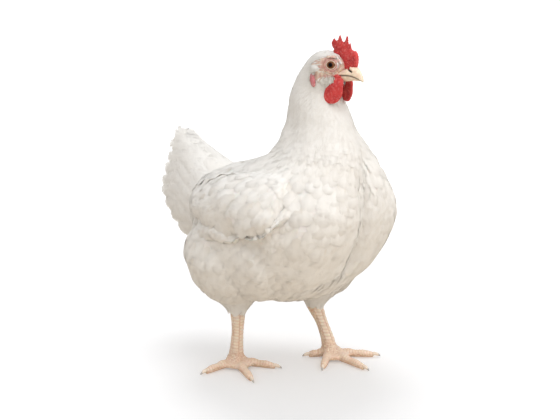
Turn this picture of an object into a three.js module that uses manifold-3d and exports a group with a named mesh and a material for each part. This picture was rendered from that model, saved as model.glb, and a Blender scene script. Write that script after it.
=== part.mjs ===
// A white meat-type hen at life size, standing in mid-stride with her head up and her wings folded.
// Millimetres, +Z up. She faces -Y, so +X is her left side, and the floor is z = 0.
import * as THREE from "three";
import { mergeVertices } from "three/addons/utils/BufferGeometryUtils.js";
import Module from "manifold-3d";

const wasm = await Module();
wasm.setup();

// ---------------------------------------------------------------- sizes
const GAP = 0.35; // clearance kept between touching nodes
const SIDES = { right: -1, left: 1 }; // sign of x on each side
const DEG = Math.PI / 180;

// The trunk: belly, breast, neck and head as level sections. At each height: how far forward and
// back the section reaches, its half width, and how square its front and back are (2 is an ellipse).
const TRUNK = [
  { up: 98, front: 46, back: -36, half: 40, squareFront: 2.1, squareBack: 2.0 },
  { up: 106, front: 73, back: -64, half: 63, squareFront: 2.2, squareBack: 2.1 },
  { up: 121, front: 98, back: -90, half: 82, squareFront: 2.4, squareBack: 2.2 },
  { up: 143, front: 118, back: -108, half: 97, squareFront: 2.7, squareBack: 2.3 },
  { up: 170, front: 134, back: -119, half: 107, squareFront: 2.9, squareBack: 2.3 },
  { up: 200, front: 147, back: -124, half: 111, squareFront: 3.0, squareBack: 2.3 },
  { up: 228, front: 152, back: -123, half: 109, squareFront: 2.9, squareBack: 2.2 },
  { up: 247, front: 149, back: -107, half: 102, squareFront: 2.7, squareBack: 2.1 },
  { up: 262, front: 145, back: -72, half: 92, squareFront: 2.5, squareBack: 2.0 },
  { up: 275, front: 141, back: -32, half: 79, squareFront: 2.3, squareBack: 2.0 },
  { up: 288, front: 137, back: 0, half: 66, squareFront: 2.2, squareBack: 2.0 },
  { up: 303, front: 131, back: 16, half: 53, squareFront: 2.1, squareBack: 2.0 },
  { up: 320, front: 122, back: 23, half: 43, squareFront: 2.0, squareBack: 2.0 },
  { up: 340, front: 112, back: 26, half: 36, squareFront: 2.0, squareBack: 2.0 },
  { up: 358, front: 102, back: 26, half: 31, squareFront: 2.0, squareBack: 2.0 },
  { up: 372, front: 97, back: 29, half: 26, squareFront: 2.0, squareBack: 2.0 },
  { up: 384, front: 104, back: 34, half: 22, squareFront: 2.0, squareBack: 2.0 },
  { up: 394, front: 112, back: 41, half: 19.5, squareFront: 2.0, squareBack: 2.0 },
  { up: 405, front: 112, back: 50, half: 17.5, squareFront: 2.0, squareBack: 2.0 },
  { up: 414, front: 105, back: 60, half: 14, squareFront: 2.0, squareBack: 2.0 },
  { up: 419, front: 96, back: 69, half: 9, squareFront: 2.0, squareBack: 2.0 },
];
const BELLY = { up: 96, forward: 5 };
const CROWN = { up: 421, forward: 82 };
const SECTION_MIDDLE = 0.52; // where a section's widest place is, as a share from its back to its front
// The dent between the breast halves, from one height to another, and how slowly it ends at each.
const KEEL_GROOVE = { depth: 9, width: 8, low: 122, high: 292, fadeLow: 40, fadeHigh: 42 };
// The planes where the neck leaves the body and the head leaves the neck; lean raises them at the nape.
const NECK_CUT = { up: 296, forward: 70, lean: 0 };
const HEAD_CUT = { up: 378, forward: 68, lean: 14 };

const EYE = { forward: 100, up: 405.5, radius: 6.8, sunk: 4.3 };
const LID = { radius: 6.1, thick: 1.5 };
const EARLOBE = { forward: 78, up: 386, long: 8.6, wide: 3.8, thick: 3.0, slant: -20, proud: 1.2 };
const NOSTRIL = { forward: 123.8, up: 401.2, out: 6.6, deep: 2.2, long: 6, high: 1.3, slope: 24 };

// The beak along its length: height of its ridge and of the mouth line, underside of the lower half.
const BEAK = [
  { forward: 107, ridge: 399, mouth: 393.4, under: 385, half: 9.6 },
  { forward: 113, ridge: 401.4, mouth: 393.8, under: 385.8, half: 9.2 },
  { forward: 120, ridge: 403.8, mouth: 394, under: 387, half: 8.0 },
  { forward: 126, ridge: 404.9, mouth: 393.4, under: 387.6, half: 6.7 },
  { forward: 130, ridge: 403.7, mouth: 392.2, under: 387.8, half: 5.5 },
  { forward: 134, ridge: 400, mouth: 390.6, under: 387.8, half: 4.2 },
  { forward: 137, ridge: 395.8, mouth: 388.9, under: 387.8, half: 2.7 },
];
const BEAK_TIP = { forward: 138.9, up: 386.5 };
const LOWER_TIP = { forward: 135.8, up: 388.7 };

// The comb's outline, from its back foot over the five points to the front: forward and up.
const COMB_BACK = [[91, 423.5], [88.6, 428.6]];
const COMB_POINTS = [
  { tip: [92, 436.4], notch: [96.3, 433.2], blunt: 1 },
  { tip: [102.1, 441.5], notch: [107.4, 432.4], blunt: 0.3 },
  { tip: [112.8, 440.2], notch: [115.6, 429.8], blunt: 0.3 },
  { tip: [117.6, 431.8], notch: [121.8, 423.8], blunt: 0.3 },
  { tip: [126.4, 423.8], notch: [129.4, 417.6], blunt: 0.7 },
];
const COMB_FRONT = [[130.8, 410.6], [129.6, 404.2]];
const COMB_ROOT = [[112, 398], [96, 410], [90, 417]]; // inside the head
const COMB = { rootThick: 5.4, tipThick: 2.6, rimThick: 1.2, bevel: 1.2, thickUp: 408, thinUp: 438 };

// A wattle's top and low points (forward, up, out), and how far its front edge turns in.
const WATTLE = {
  top: [114, 391, 9], low: [101.5, 358.6, 13], wide: 26, thick: 4.6, fold: 0.6, toeIn: 0.16,
};

// Each leg: where the feathered thigh, the shank and the foot stand. Points are left, forward, up.
const LEGS = {
  right: {
    thigh: [
      { at: [-58, -18, 219], wide: 0, deep: 0 },
      { at: [-65, -22, 206], wide: 34, deep: 42 },
      { at: [-70, -26, 184], wide: 42, deep: 58 },
      { at: [-72, -29, 156], wide: 43, deep: 60 },
      { at: [-68, -29, 130], wide: 38, deep: 51 },
      { at: [-62, -26, 106], wide: 27, deep: 34 },
      { at: [-58, -23, 86], wide: 15, deep: 18 },
      { at: [-57, -22, 76], wide: 0, deep: 0 },
    ],
    shank: [
      [-58, -23, 104], [-57.5, -22, 90], [-57, -21.5, 74],
      [-56, -23, 50], [-55, -26, 28], [-54, -28, 12],
    ],
    foot: [-53.5, -30],
    toes: { hallux: [-28, -56], inner: [-23, 27], middle: [-84, 37], outer: [-114, -32] },
  },
  left: {
    thigh: [
      { at: [54, 30, 214], wide: 0, deep: 0 },
      { at: [60, 30, 198], wide: 26, deep: 38 },
      { at: [68, 28, 174], wide: 38, deep: 52 },
      { at: [70, 25, 148], wide: 40, deep: 53 },
      { at: [66, 21, 122], wide: 35, deep: 45 },
      { at: [60, 16, 98], wide: 26, deep: 33 },
      { at: [55, 13, 77], wide: 15, deep: 19 },
      { at: [53.5, 13, 66], wide: 0, deep: 0 },
    ],
    shank: [
      [53, -3, 94], [53, 4, 82], [53.5, 13, 66],
      [55, 24, 46], [56, 33, 27], [56.5, 38, 12],
    ],
    foot: [56.5, 37.2],
    toes: { hallux: [27, 15], inner: [7.5, 70], middle: [51, 114], outer: [103, 89] },
  },
};
const SHANK_RADII = [
  { wide: 9, deep: 10.5 },
  { wide: 9.4, deep: 11 },
  { wide: 8.6, deep: 10 },
  { wide: 6.8, deep: 8 },
  { wide: 7.6, deep: 9 },
  { wide: 10.5, deep: 11 },
];
const SCUTES = { count: 11, proud: 0.9, low: 24, high: 84 };
// A toe's radius at its root and tip, how much the floor takes off it, and how far its root stands up.
const TOE = { root: 6.8, tip: 4.3, flat: 0.35, rootRise: 7, joint: 1.07, betweenJoints: 0.94, end: 0.78 };
const FOOT_PAD = { wide: 12, high: 9.5 };
const CLAW = { long: 8.6, radius: 2.9, narrow: 0.84 };
const FOOT_CUT = 20; // height of the thin cut between shank and foot

// The folded wing on the body's side: its edges along its length, and how far it stands proud.
const WING = [
  { forward: 106, top: 250, low: 238, thick: 2.5 },
  { forward: 101, top: 265, low: 223, thick: 6 },
  { forward: 88, top: 276, low: 210, thick: 8.5 },
  { forward: 62, top: 279, low: 201, thick: 10 },
  { forward: 25, top: 268, low: 199, thick: 9.5 },
  { forward: -20, top: 250, low: 204, thick: 8 },
  { forward: -58, top: 236, low: 210, thick: 6 },
  { forward: -84, top: 226, low: 217, thick: 4 },
];
const WING_SUNK = 4; // how far inside the body the wing's inner face lies before the body is cut away
// Rows of wing feathers, the lowest layer first: the line their tips lie on (forward, up), how
// steeply the first and last point down, how long and wide they are and how high they lie.
const WING_ROWS = [
  { count: 3, tips: [[-66, 204], [-86, 209], [-100, 220]], slopes: [14, 6], long: 46, wide: 17, lift: -1 },
  { count: 7, tips: [[40, 193], [-26, 197], [-92, 228]], slopes: [52, 10], long: 50, wide: 25, lift: 1.8 },
  { count: 6, tips: [[72, 199], [16, 213], [-50, 238]], slopes: [64, 12], long: 42, wide: 27, lift: 4.4 },
  { count: 5, tips: [[91, 217], [49, 236], [2, 254]], slopes: [72, 12], long: 34, wide: 25, lift: 6.8 },
];

// The tail is a roof of two sides that meet on a ridge. From the ridge (turn 0) down to the vent
// (turn 1): where the feathers root, inside the body, and where the longest ones end, each as how far
// out, forward and up.
const TAIL = [
  { turn: 0, rootOut: 1, rootForward: -84, rootUp: 240, tipOut: 1, tipForward: -170, tipUp: 293 },
  { turn: 0.15, rootOut: 16, rootForward: -84, rootUp: 240, tipOut: 7, tipForward: -194, tipUp: 291 },
  { turn: 0.3, rootOut: 30, rootForward: -84, rootUp: 236, tipOut: 16, tipForward: -199, tipUp: 276 },
  { turn: 0.45, rootOut: 44, rootForward: -85, rootUp: 228, tipOut: 24, tipForward: -200, tipUp: 250 },
  { turn: 0.62, rootOut: 54, rootForward: -86, rootUp: 212, tipOut: 32, tipForward: -204, tipUp: 219 },
  { turn: 0.8, rootOut: 57, rootForward: -88, rootUp: 190, tipOut: 40, tipForward: -183, tipUp: 184 },
  { turn: 1, rootOut: 50, rootForward: -90, rootUp: 160, tipOut: 42, tipForward: -142, tipUp: 148 },
];
// Rows of tail feathers from the longest to the topmost: the first and last turn, and the shares of
// the way from root to tip where they start and end.
const TAIL_ROWS = [
  { count: 8, from: 0.05, to: 0.98, start: 0.3, end: 1, wide: 30, lift: 0.6 },
  { count: 6, from: 0.09, to: 0.88, start: 0.18, end: 0.76, wide: 33, lift: 3.8 },
  { count: 4, from: 0.16, to: 0.74, start: 0.1, end: 0.52, wide: 34, lift: 6.6 },
];
const TAIL_CORE = { deepest: [0, -80, 205], end: 0.62 }; // where its root is, and how far back it is solid

// ---------------------------------------------------------------- shared geometry
// A point from its distance to her left, forward and up.
const at = (left, forward, up) => new THREE.Vector3(left, -forward, up);
const mix = THREE.MathUtils.lerp;
const smooth = (x, from, to) => THREE.MathUtils.smoothstep(x, from, to);

// One field of a list of stations, as a smooth curve that doesn't overshoot them.
function fieldAt(stations, over, field, x) {
  const forwards = stations[1][over] > stations[0][over] ? 1 : -1;
  let k = 0;
  while (k < stations.length - 2 && (x - stations[k + 1][over]) * forwards > 0) k++;
  const slopeOf = (i) => {
    const a = stations[i];
    const b = stations[i + 1];
    return a && b ? (b[field] - a[field]) / (b[over] - a[over]) : null;
  };
  const tangentAt = (i) => {
    const before = slopeOf(i - 1);
    const after = slopeOf(i);
    if (before === null) return after;
    if (after === null) return before;
    return before * after <= 0 ? 0 : (2 * before * after) / (before + after);
  };
  const a = stations[k];
  const b = stations[k + 1];
  const span = b[over] - a[over];
  const t = THREE.MathUtils.clamp((x - a[over]) / span, 0, 1);
  const t2 = t * t;
  const t3 = t2 * t;
  return (
    (2 * t3 - 3 * t2 + 1) * a[field] +
    (t3 - 2 * t2 + t) * span * tangentAt(k) +
    (3 * t2 - 2 * t3) * b[field] +
    (t3 - t2) * span * tangentAt(k + 1)
  );
}

// A closed surface over rings of points, each with the same count, from a first to a last pole.
function ringSurface(first, rings, last) {
  const count = rings[0].length;
  const points = [first, ...rings.flat(), last];
  const faces = [];
  const id = (ring, i) => 1 + ring * count + (i % count);
  const end = points.length - 1;
  for (let i = 0; i < count; i++) {
    faces.push(0, id(0, i + 1), id(0, i));
    faces.push(end, id(rings.length - 1, i), id(rings.length - 1, i + 1));
  }
  for (let ring = 0; ring < rings.length - 1; ring++) {
    for (let i = 0; i < count; i++) {
      faces.push(id(ring, i), id(ring, i + 1), id(ring + 1, i + 1));
      faces.push(id(ring, i), id(ring + 1, i + 1), id(ring + 1, i));
    }
  }
  return new THREE.BufferGeometry().setFromPoints(points).setIndex(faces);
}

// A round-ended tube through stations {at, wide, deep}: wide is its half size across, deep its
// half size along `facing`. The first and last stations are its poles.
function tube(stations, sides, facing) {
  const rings = stations.slice(1, -1).map((station, i) => {
    const along = stations[i + 2].at.clone().sub(stations[i].at).normalize();
    const across = new THREE.Vector3().crossVectors(along, facing).normalize();
    const deep = new THREE.Vector3().crossVectors(across, along).normalize();
    return Array.from({ length: sides }, (_, k) => {
      const angle = (2 * Math.PI * k) / sides;
      return station.at
        .clone()
        .addScaledVector(deep, station.deep * Math.cos(angle))
        .addScaledVector(across, station.wide * Math.sin(angle));
    });
  });
  return ringSurface(stations[0].at, rings, stations[stations.length - 1].at);
}

const bare = (geometry) => {
  const copy = geometry.clone();
  copy.deleteAttribute("normal");
  copy.deleteAttribute("uv");
  return mergeVertices(copy, 1e-4);
};

// The same surface pushed out everywhere by a distance, to cut room for what it touches.
function grown(geometry, distance = GAP) {
  const copy = bare(geometry);
  copy.computeVertexNormals();
  const point = new THREE.Vector3();
  const normal = new THREE.Vector3();
  const outwards = volumeSign(copy);
  for (let i = 0; i < copy.attributes.position.count; i++) {
    point.fromBufferAttribute(copy.attributes.position, i);
    normal.fromBufferAttribute(copy.attributes.normal, i);
    point.addScaledVector(normal, distance * outwards);
    copy.attributes.position.setXYZ(i, point.x, point.y, point.z);
  }
  return copy;
}

function volumeSign(geometry) {
  const index = geometry.index.array;
  const corners = [new THREE.Vector3(), new THREE.Vector3(), new THREE.Vector3()];
  let sum = 0;
  for (let i = 0; i < index.length; i += 3) {
    corners.forEach((corner, k) => corner.fromBufferAttribute(geometry.attributes.position, index[i + k]));
    sum += corners[0].dot(corners[1].clone().cross(corners[2]));
  }
  return Math.sign(sum);
}

// A three.js geometry as a manifold-3d solid, with its faces pointing out.
function solid(geometry) {
  const merged = bare(geometry);
  const vertProperties = merged.attributes.position.array;
  const triVerts = new Uint32Array(merged.index.array);
  if (volumeSign(merged) < 0) {
    for (let i = 0; i < triVerts.length; i += 3) {
      [triVerts[i + 1], triVerts[i + 2]] = [triVerts[i + 2], triVerts[i + 1]];
    }
  }
  return new wasm.Manifold(new wasm.Mesh({ numProp: 3, vertProperties, triVerts }));
}

const joined = (bodies) => bodies.reduce((sum, body) => sum.add(body));
const without = (body, ...cutters) => cutters.reduce((rest, cutter) => rest.subtract(cutter), body);
const largest = (body) => body.decompose().reduce((a, b) => (b.volume() > a.volume() ? b : a));

// A feather: a thin plate laid on a surface. place(a, b, lift) gives a point of that surface, and
// root and tip are in its two coordinates. The root sinks in, and the lower edge lies on the next
// feather below while the upper edge lies under the next one above.
const VANE = { sink: 2.4, thick: 0.9, tipThick: 0.7, tilt: 0.9 };
const VANE_ROWS = [[0, 0.6], [0.7, 1], [1, 0.3]]; // share of its length, share of its width
const VANE_EDGES = [-1, 1]; // the upper and the lower edge
function vane(place, root, tip, wide, lift) {
  const start = new THREE.Vector2(...root);
  const along = new THREE.Vector2(...tip).sub(start);
  const across = new THREE.Vector2(-along.y, along.x).normalize().multiplyScalar(wide / 2);
  const points = [];
  VANE_ROWS.forEach(([t, share]) => {
    const height = mix(-VANE.sink, lift, smooth(t, 0, 0.5));
    const half = mix(VANE.thick, VANE.tipThick, t) / 2;
    VANE_EDGES.forEach((edge) => {
      const spot = start.clone().addScaledVector(along, t).addScaledVector(across, share * edge);
      const level = height + VANE.tilt * edge * smooth(t, 0, 0.4);
      points.push(place(spot.x, spot.y, level + half), place(spot.x, spot.y, level - half));
    });
  });
  // Each row holds four points: the upper edge's face and back, then the lower edge's.
  const faces = [];
  const quad = (a, b, c, d) => faces.push(a, b, c, a, c, d);
  const last = 4 * (VANE_ROWS.length - 1);
  for (let row = 0; row < last; row += 4) {
    const next = row + 4;
    quad(row, next, next + 2, row + 2);
    faces.push(row + 1, next + 3, next + 1, row + 1, row + 3, next + 3);
    quad(row, row + 1, next + 1, next);
    quad(row + 2, next + 2, next + 3, row + 3);
  }
  quad(0, 2, 3, 1);
  quad(last, last + 1, last + 3, last + 2);
  return new THREE.BufferGeometry().setFromPoints(points).setIndex(faces);
}

// ---------------------------------------------------------------- trunk: torso, neck and head
const BODY_SPOKES = [0, 3, 6, 10, 18, 29, 42, 57, 74, 92, 111, 130, 148, 165];
const TRUNK_LEVELS = [
  98, 102, 108, 117, 129, 143, 157, 171, 186, 202, 218, 233, 246, 256, 265, 273, 281, 290, 300, 312,
  325, 338, 350, 361, 370, 378, 386, 393, 400, 407, 413, 418,
];

// The trunk's section at a height: its middle, its reach ahead and behind, and its half width.
function trunkSection(up) {
  const get = (field) => fieldAt(TRUNK, "up", field, up);
  const front = get("front");
  const back = get("back");
  const middle = mix(back, front, SECTION_MIDDLE);
  return {
    middle,
    ahead: { reach: front - middle, square: get("squareFront") },
    behind: { reach: middle - back, square: get("squareBack") },
    half: get("half"),
  };
}

// Where the trunk's skin is, at a height and a compass angle from straight ahead.
function trunkPoint(up, angle) {
  const section = trunkSection(up);
  const ahead = Math.cos(angle);
  const aside = Math.sin(angle);
  const { reach, square } = ahead > 0 ? section.ahead : section.behind;
  const stretch = Math.abs(ahead / reach) ** square + Math.abs(aside / section.half) ** square;
  const radius = stretch ** (-1 / square);
  const x = radius * aside;
  const { depth, width, low, high, fadeLow, fadeHigh } = KEEL_GROOVE;
  const fade = smooth(up, low, low + fadeLow) * (1 - smooth(up, high - fadeHigh, high));
  const dent = ahead > 0 ? depth * fade * Math.exp(-((x / width) ** 2)) : 0;
  return at(x, section.middle + radius * ahead - dent, up);
}

function trunkGeometry() {
  const angles = [...BODY_SPOKES, 180, ...BODY_SPOKES.slice(1).reverse().map((a) => 360 - a)];
  const rings = TRUNK_LEVELS.map((up) => angles.map((a) => trunkPoint(up, a * DEG)));
  return ringSurface(at(0, BELLY.forward, BELLY.up), rings, at(0, CROWN.forward, CROWN.up));
}

// How far out the trunk's side is at a place along and up the body, and the way it faces there.
function trunkSide(forward, up) {
  const outAt = (f, z) => {
    const section = trunkSection(z);
    const { reach, square } = f > section.middle ? section.ahead : section.behind;
    const share = Math.min(0.999, Math.abs((f - section.middle) / reach));
    return section.half * (1 - share ** square) ** (1 / square);
  };
  const out = outAt(forward, up);
  const step = 2;
  const normal = new THREE.Vector3(
    1,
    (outAt(forward + step, up) - outAt(forward - step, up)) / (2 * step),
    (outAt(forward, up - step) - outAt(forward, up + step)) / (2 * step),
  ).normalize();
  return { out, normal };
}

const trunkShape = trunkGeometry();
const trunk = solid(trunkShape);
const trunkRoom = solid(grown(trunkShape));

// A level or leaning plane across the neck: above keeps what is over it.
function cutAcross(body, { up, forward, lean }, above) {
  const normal = at(0, Math.sin(lean * DEG), Math.cos(lean * DEG));
  const height = normal.dot(at(0, forward, up));
  const sign = above ? 1 : -1;
  return body.trimByPlane([normal.x * sign, normal.y * sign, normal.z * sign], height * sign + GAP / 2);
}

const torso = cutAcross(trunk, NECK_CUT, false);
const neck = cutAcross(cutAcross(trunk, NECK_CUT, true), HEAD_CUT, false);

// ---------------------------------------------------------------- head
function eyeAt(side) {
  const { out, normal } = trunkSide(EYE.forward, EYE.up);
  const facing = new THREE.Vector3(side * normal.x, normal.y, normal.z);
  return { surface: at(side * out, EYE.forward, EYE.up), facing };
}

function placedAlong(geometry, centre, facing) {
  const turn = new THREE.Quaternion().setFromUnitVectors(new THREE.Vector3(0, 0, 1), facing);
  return geometry.applyQuaternion(turn).translate(centre.x, centre.y, centre.z);
}

function eyeBall(side, grow = 0) {
  const { surface, facing } = eyeAt(side);
  const centre = surface.clone().addScaledVector(facing, -EYE.sunk);
  return placedAlong(new THREE.SphereGeometry(EYE.radius + grow, 12, 8), centre, facing);
}

function lidRing(side) {
  const { surface, facing } = eyeAt(side);
  const ring = new THREE.TorusGeometry(LID.radius, LID.thick, 5, 12).scale(1.04, 0.94, 0.75);
  return placedAlong(ring, surface.clone().addScaledVector(facing, -0.2), facing);
}

// Half a beak: an arched upper or a keeled lower shell, flat at the mouth line.
function beakHalf(upper) {
  const arc = [0, 32, 62, 88, 110, 250, 272, 298, 328];
  const rings = BEAK.filter((b) => upper || b.forward < LOWER_TIP.forward - 1).map((b) => {
    const rise = upper ? b.ridge - b.mouth : b.mouth - GAP - b.under;
    const base = upper ? b.mouth : b.mouth - GAP - 0.1;
    const half = upper ? b.half : b.half * 0.88;
    return arc.map((degrees) => {
      const cos = Math.cos(degrees * DEG);
      const bulge = cos > 0 ? rise * cos ** 0.85 : 0.04 * cos;
      return at(half * Math.sin(degrees * DEG), b.forward, base + (upper ? bulge : -bulge));
    });
  });
  const tip = upper ? BEAK_TIP : LOWER_TIP;
  const first = BEAK[0];
  const rootUp = mix(first.mouth, upper ? first.ridge : first.under, 0.4);
  return ringSurface(at(0, first.forward - 1, rootUp), rings, at(0, tip.forward, tip.up));
}

// The comb's outline as {forward, up} points, in order round it.
function combOutline() {
  const outline = [...COMB_BACK];
  COMB_POINTS.forEach(({ tip, notch, blunt }) => {
    outline.push([tip[0] - blunt * 1.8 - 0.5, tip[1] - blunt * 1.5 - 0.9]);
    outline.push(tip);
    outline.push([tip[0] + blunt * 1.8 + 0.7, tip[1] - blunt * 1.6 - 1.1]);
    outline.push(notch);
  });
  return [...outline, ...COMB_FRONT, ...COMB_ROOT].map(([forward, up]) => new THREE.Vector2(forward, up));
}

// The comb: a blade with a thin rim all round and a thicker middle, thickest at its root.
function combBlade() {
  const rim = combOutline();
  const count = rim.length;
  const inset = rim.map((point, i) => {
    const before = rim[(i + count - 1) % count];
    const after = rim[(i + 1) % count];
    const inward = new THREE.Vector2(after.y - before.y, before.x - after.x).normalize();
    return point.clone().addScaledVector(inward, COMB.bevel);
  });
  const thickAt = (up) => {
    const thin = smooth(up, COMB.thickUp, COMB.thinUp);
    return mix(COMB.rootThick, COMB.tipThick, thin) / 2;
  };
  const points = [];
  for (const sign of [-1, 1]) {
    inset.forEach((p) => points.push(at(sign * thickAt(p.y), p.x, p.y)));
    rim.forEach((p) => points.push(at(sign * COMB.rimThick / 2, p.x, p.y)));
  }
  const bands = [0, count, 3 * count, 2 * count];
  const faces = [];
  for (let band = 0; band < 3; band++) {
    for (let i = 0; i < count; i++) {
      const next = (i + 1) % count;
      const [a, b] = [bands[band], bands[band + 1]];
      faces.push(a + i, a + next, b + next, a + i, b + next, b + i);
    }
  }
  THREE.ShapeUtils.triangulateShape(inset, []).forEach(([a, b, c]) => {
    const turn = inset[b].clone().sub(inset[a]).cross(inset[c].clone().sub(inset[a]));
    const [p, q, r] = turn < 0 ? [a, b, c] : [a, c, b];
    faces.push(p, r, q, 2 * count + p, 2 * count + q, 2 * count + r);
  });
  return new THREE.BufferGeometry().setFromPoints(points).setIndex(faces);
}

// A flap that hangs from the corner of the mouth, narrow above and round below, in two soft folds.
function wattle(side) {
  const [topForward, topUp, topOut] = WATTLE.top;
  const [lowForward, lowUp, lowOut] = WATTLE.low;
  const shares = [0.12, 0.28, 0.45, 0.62, 0.78, 0.9, 0.97];
  const ahead = at(-side * WATTLE.toeIn, 1, 0.25).normalize();
  const out = new THREE.Vector3(side, 0, 0);
  const corners = 12;
  const centreAt = (t) =>
    at(side * mix(topOut, lowOut, t), mix(topForward, lowForward, t ** 0.8), mix(topUp, lowUp, t));
  const rings = shares.map((t) => {
    const swell = Math.sqrt(Math.sin(Math.PI * t ** 1.35)) * mix(0.62, 1, t);
    return Array.from({ length: corners }, (_, k) => {
      const angle = (2 * Math.PI * k) / corners;
      const fold = WATTLE.fold * Math.cos(2 * Math.PI * Math.cos(angle)) * smooth(t, 0.1, 0.5);
      const thick = (WATTLE.thick / 2) * Math.sqrt(swell) * Math.sin(angle);
      return centreAt(t)
        .addScaledVector(ahead, (WATTLE.wide / 2) * swell * Math.cos(angle))
        .addScaledVector(out, thick + fold);
    });
  });
  return ringSurface(centreAt(0), rings, centreAt(1));
}

function earlobe(side) {
  const { out, normal } = trunkSide(EARLOBE.forward, EARLOBE.up);
  const lobe = new THREE.SphereGeometry(1, 10, 6).scale(EARLOBE.wide, EARLOBE.long, EARLOBE.thick);
  lobe.rotateZ(side * EARLOBE.slant * DEG);
  lobe.applyMatrix4(new THREE.Matrix4().makeBasis(at(0, -side, 0), at(0, 0, 1), at(side, 0, 0)));
  const facing = new THREE.Vector3(side * normal.x, normal.y, normal.z);
  const tip = new THREE.Quaternion().setFromUnitVectors(new THREE.Vector3(side, 0, 0), facing);
  return lobe.applyQuaternion(tip).translate(side * (out + EARLOBE.proud), -EARLOBE.forward, EARLOBE.up);
}

function nostril(side) {
  const { forward, up, out, deep, long, high, slope } = NOSTRIL;
  const slot = new THREE.SphereGeometry(1, 8, 5).scale(deep, long / 2, high / 2);
  slot.rotateX(slope * DEG);
  return slot.translate(side * out, -forward, up);
}

const upperShape = beakHalf(true);
const lowerShape = beakHalf(false);
const upperRoom = solid(grown(upperShape));
const lowerRoom = solid(grown(lowerShape));
const bothSides = Object.values(SIDES);
const nostrils = bothSides.map((side) => solid(nostril(side)));
const beakUpper = without(solid(upperShape), ...nostrils);
const beakLower = solid(lowerShape);
const comb = without(solid(combBlade()), trunkRoom, upperRoom);

const lids = bothSides.map((side) => solid(lidRing(side)));
const sockets = bothSides.map((side) => solid(eyeBall(side, GAP)));
const headWithLids = joined([cutAcross(trunk, HEAD_CUT, true), ...lids]);
const head = without(headWithLids, ...sockets, upperRoom, lowerRoom);

// ---------------------------------------------------------------- legs
const legPoint = ([left, forward, up]) => at(left, forward, up);

function thighGeometry(side) {
  const stations = LEGS[side].thigh.map((s) => ({ at: legPoint(s.at), wide: s.wide, deep: s.deep }));
  return tube(stations, 18, at(0, 1, 0));
}

// The shank, with two rows of plates down its front: each plate is a step proud of the next.
function shankGeometry(side) {
  const path = new THREE.CatmullRomCurve3(LEGS[side].shank.map(legPoint));
  const radii = SHANK_RADII.map((r, i) => ({ t: i / (SHANK_RADII.length - 1), ...r }));
  const { count, proud, low, high } = SCUTES;
  const topUp = LEGS[side].shank[0][2];
  const lowUp = LEGS[side].shank.at(-1)[2];
  const shareAt = (up) => (topUp - up) / (topUp - lowUp);
  const marks = [{ up: topUp - 3, plate: 0 }];
  for (let k = 0; k < count; k++) {
    const upper = mix(high, low, k / count);
    const lower = mix(high, low, (k + 1) / count);
    marks.push({ up: upper - 0.4, plate: 0.15 }, { up: lower + 0.5, plate: 1 });
  }
  marks.push({ up: low - 3, plate: 0 }, { up: lowUp + 3, plate: 0 });
  const sidesRound = 12;
  const rings = marks.map(({ up, plate }) => {
    const t = shareAt(up);
    const centre = path.getPoint(t);
    const along = path.getTangent(t);
    const across = new THREE.Vector3().crossVectors(along, at(0, 1, 0)).normalize();
    const ahead = new THREE.Vector3().crossVectors(across, along).normalize();
    const wide = fieldAt(radii, "t", "wide", t);
    const deep = fieldAt(radii, "t", "deep", t);
    return Array.from({ length: sidesRound }, (_, k) => {
      const angle = (2 * Math.PI * k) / sidesRound;
      const onPlate = Math.max(0, Math.cos(angle)) ** 0.5 * (k === 0 ? 0.25 : 1);
      const raise = proud * plate * onPlate;
      return centre
        .clone()
        .addScaledVector(ahead, (deep + raise) * Math.cos(angle))
        .addScaledVector(across, (wide + raise) * Math.sin(angle));
    });
  });
  return ringSurface(path.getPoint(0), rings, path.getPoint(1));
}

// A toe from the foot's middle to its claw, with a swelling at each joint, flat where it rests.
function toeStations(side, toe) {
  const [left, forward] = LEGS[side].foot;
  const [tipLeft, tipForward] = LEGS[side].toes[toe];
  const start = new THREE.Vector2(left, forward);
  const reach = new THREE.Vector2(tipLeft, tipForward).sub(start);
  const long = reach.length() - CLAW.long;
  const way = reach.normalize();
  const stations = [];
  const marks = [0, 0.08, 0.26, 0.44, 0.58, 0.76, 0.9, 0.98, 1];
  marks.forEach((t, i) => {
    const knuckle = i % 2 === 0 ? TOE.betweenJoints : TOE.joint;
    const end = i === 0 || i === marks.length - 1;
    const radius = mix(TOE.root, TOE.tip, t) * knuckle * (i === marks.length - 2 ? TOE.end : 1);
    const rise = mix(TOE.rootRise, 0, smooth(t, 0, marks[2]));
    const place = start.clone().addScaledVector(way, t * long);
    stations.push({
      at: at(place.x, place.y, radius - TOE.flat + rise),
      wide: end ? 0 : radius,
      deep: end ? 0 : radius,
    });
  });
  return { stations, way, end: start.clone().addScaledVector(way, long) };
}

function clawGeometry(side, toe) {
  const { way, end } = toeStations(side, toe);
  const marks = [
    { t: -0.35, rise: 4.6, share: 0 },
    { t: -0.28, rise: 4.7, share: 0.85 },
    { t: 0, rise: 4.9, share: 1 },
    { t: 0.35, rise: 4.4, share: 0.86 },
    { t: 0.7, rise: 3.2, share: 0.6 },
    { t: 0.92, rise: 1.9, share: 0.33 },
    { t: 1, rise: 1.1, share: 0 },
  ];
  const stations = marks.map(({ t, rise, share }) => ({
    at: at(end.x + way.x * t * CLAW.long, end.y + way.y * t * CLAW.long, rise),
    wide: CLAW.radius * CLAW.narrow * share,
    deep: CLAW.radius * share,
  }));
  return tube(stations, 8, at(0, 0, 1));
}

const TOES = ["hallux", "inner", "middle", "outer"];

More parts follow.
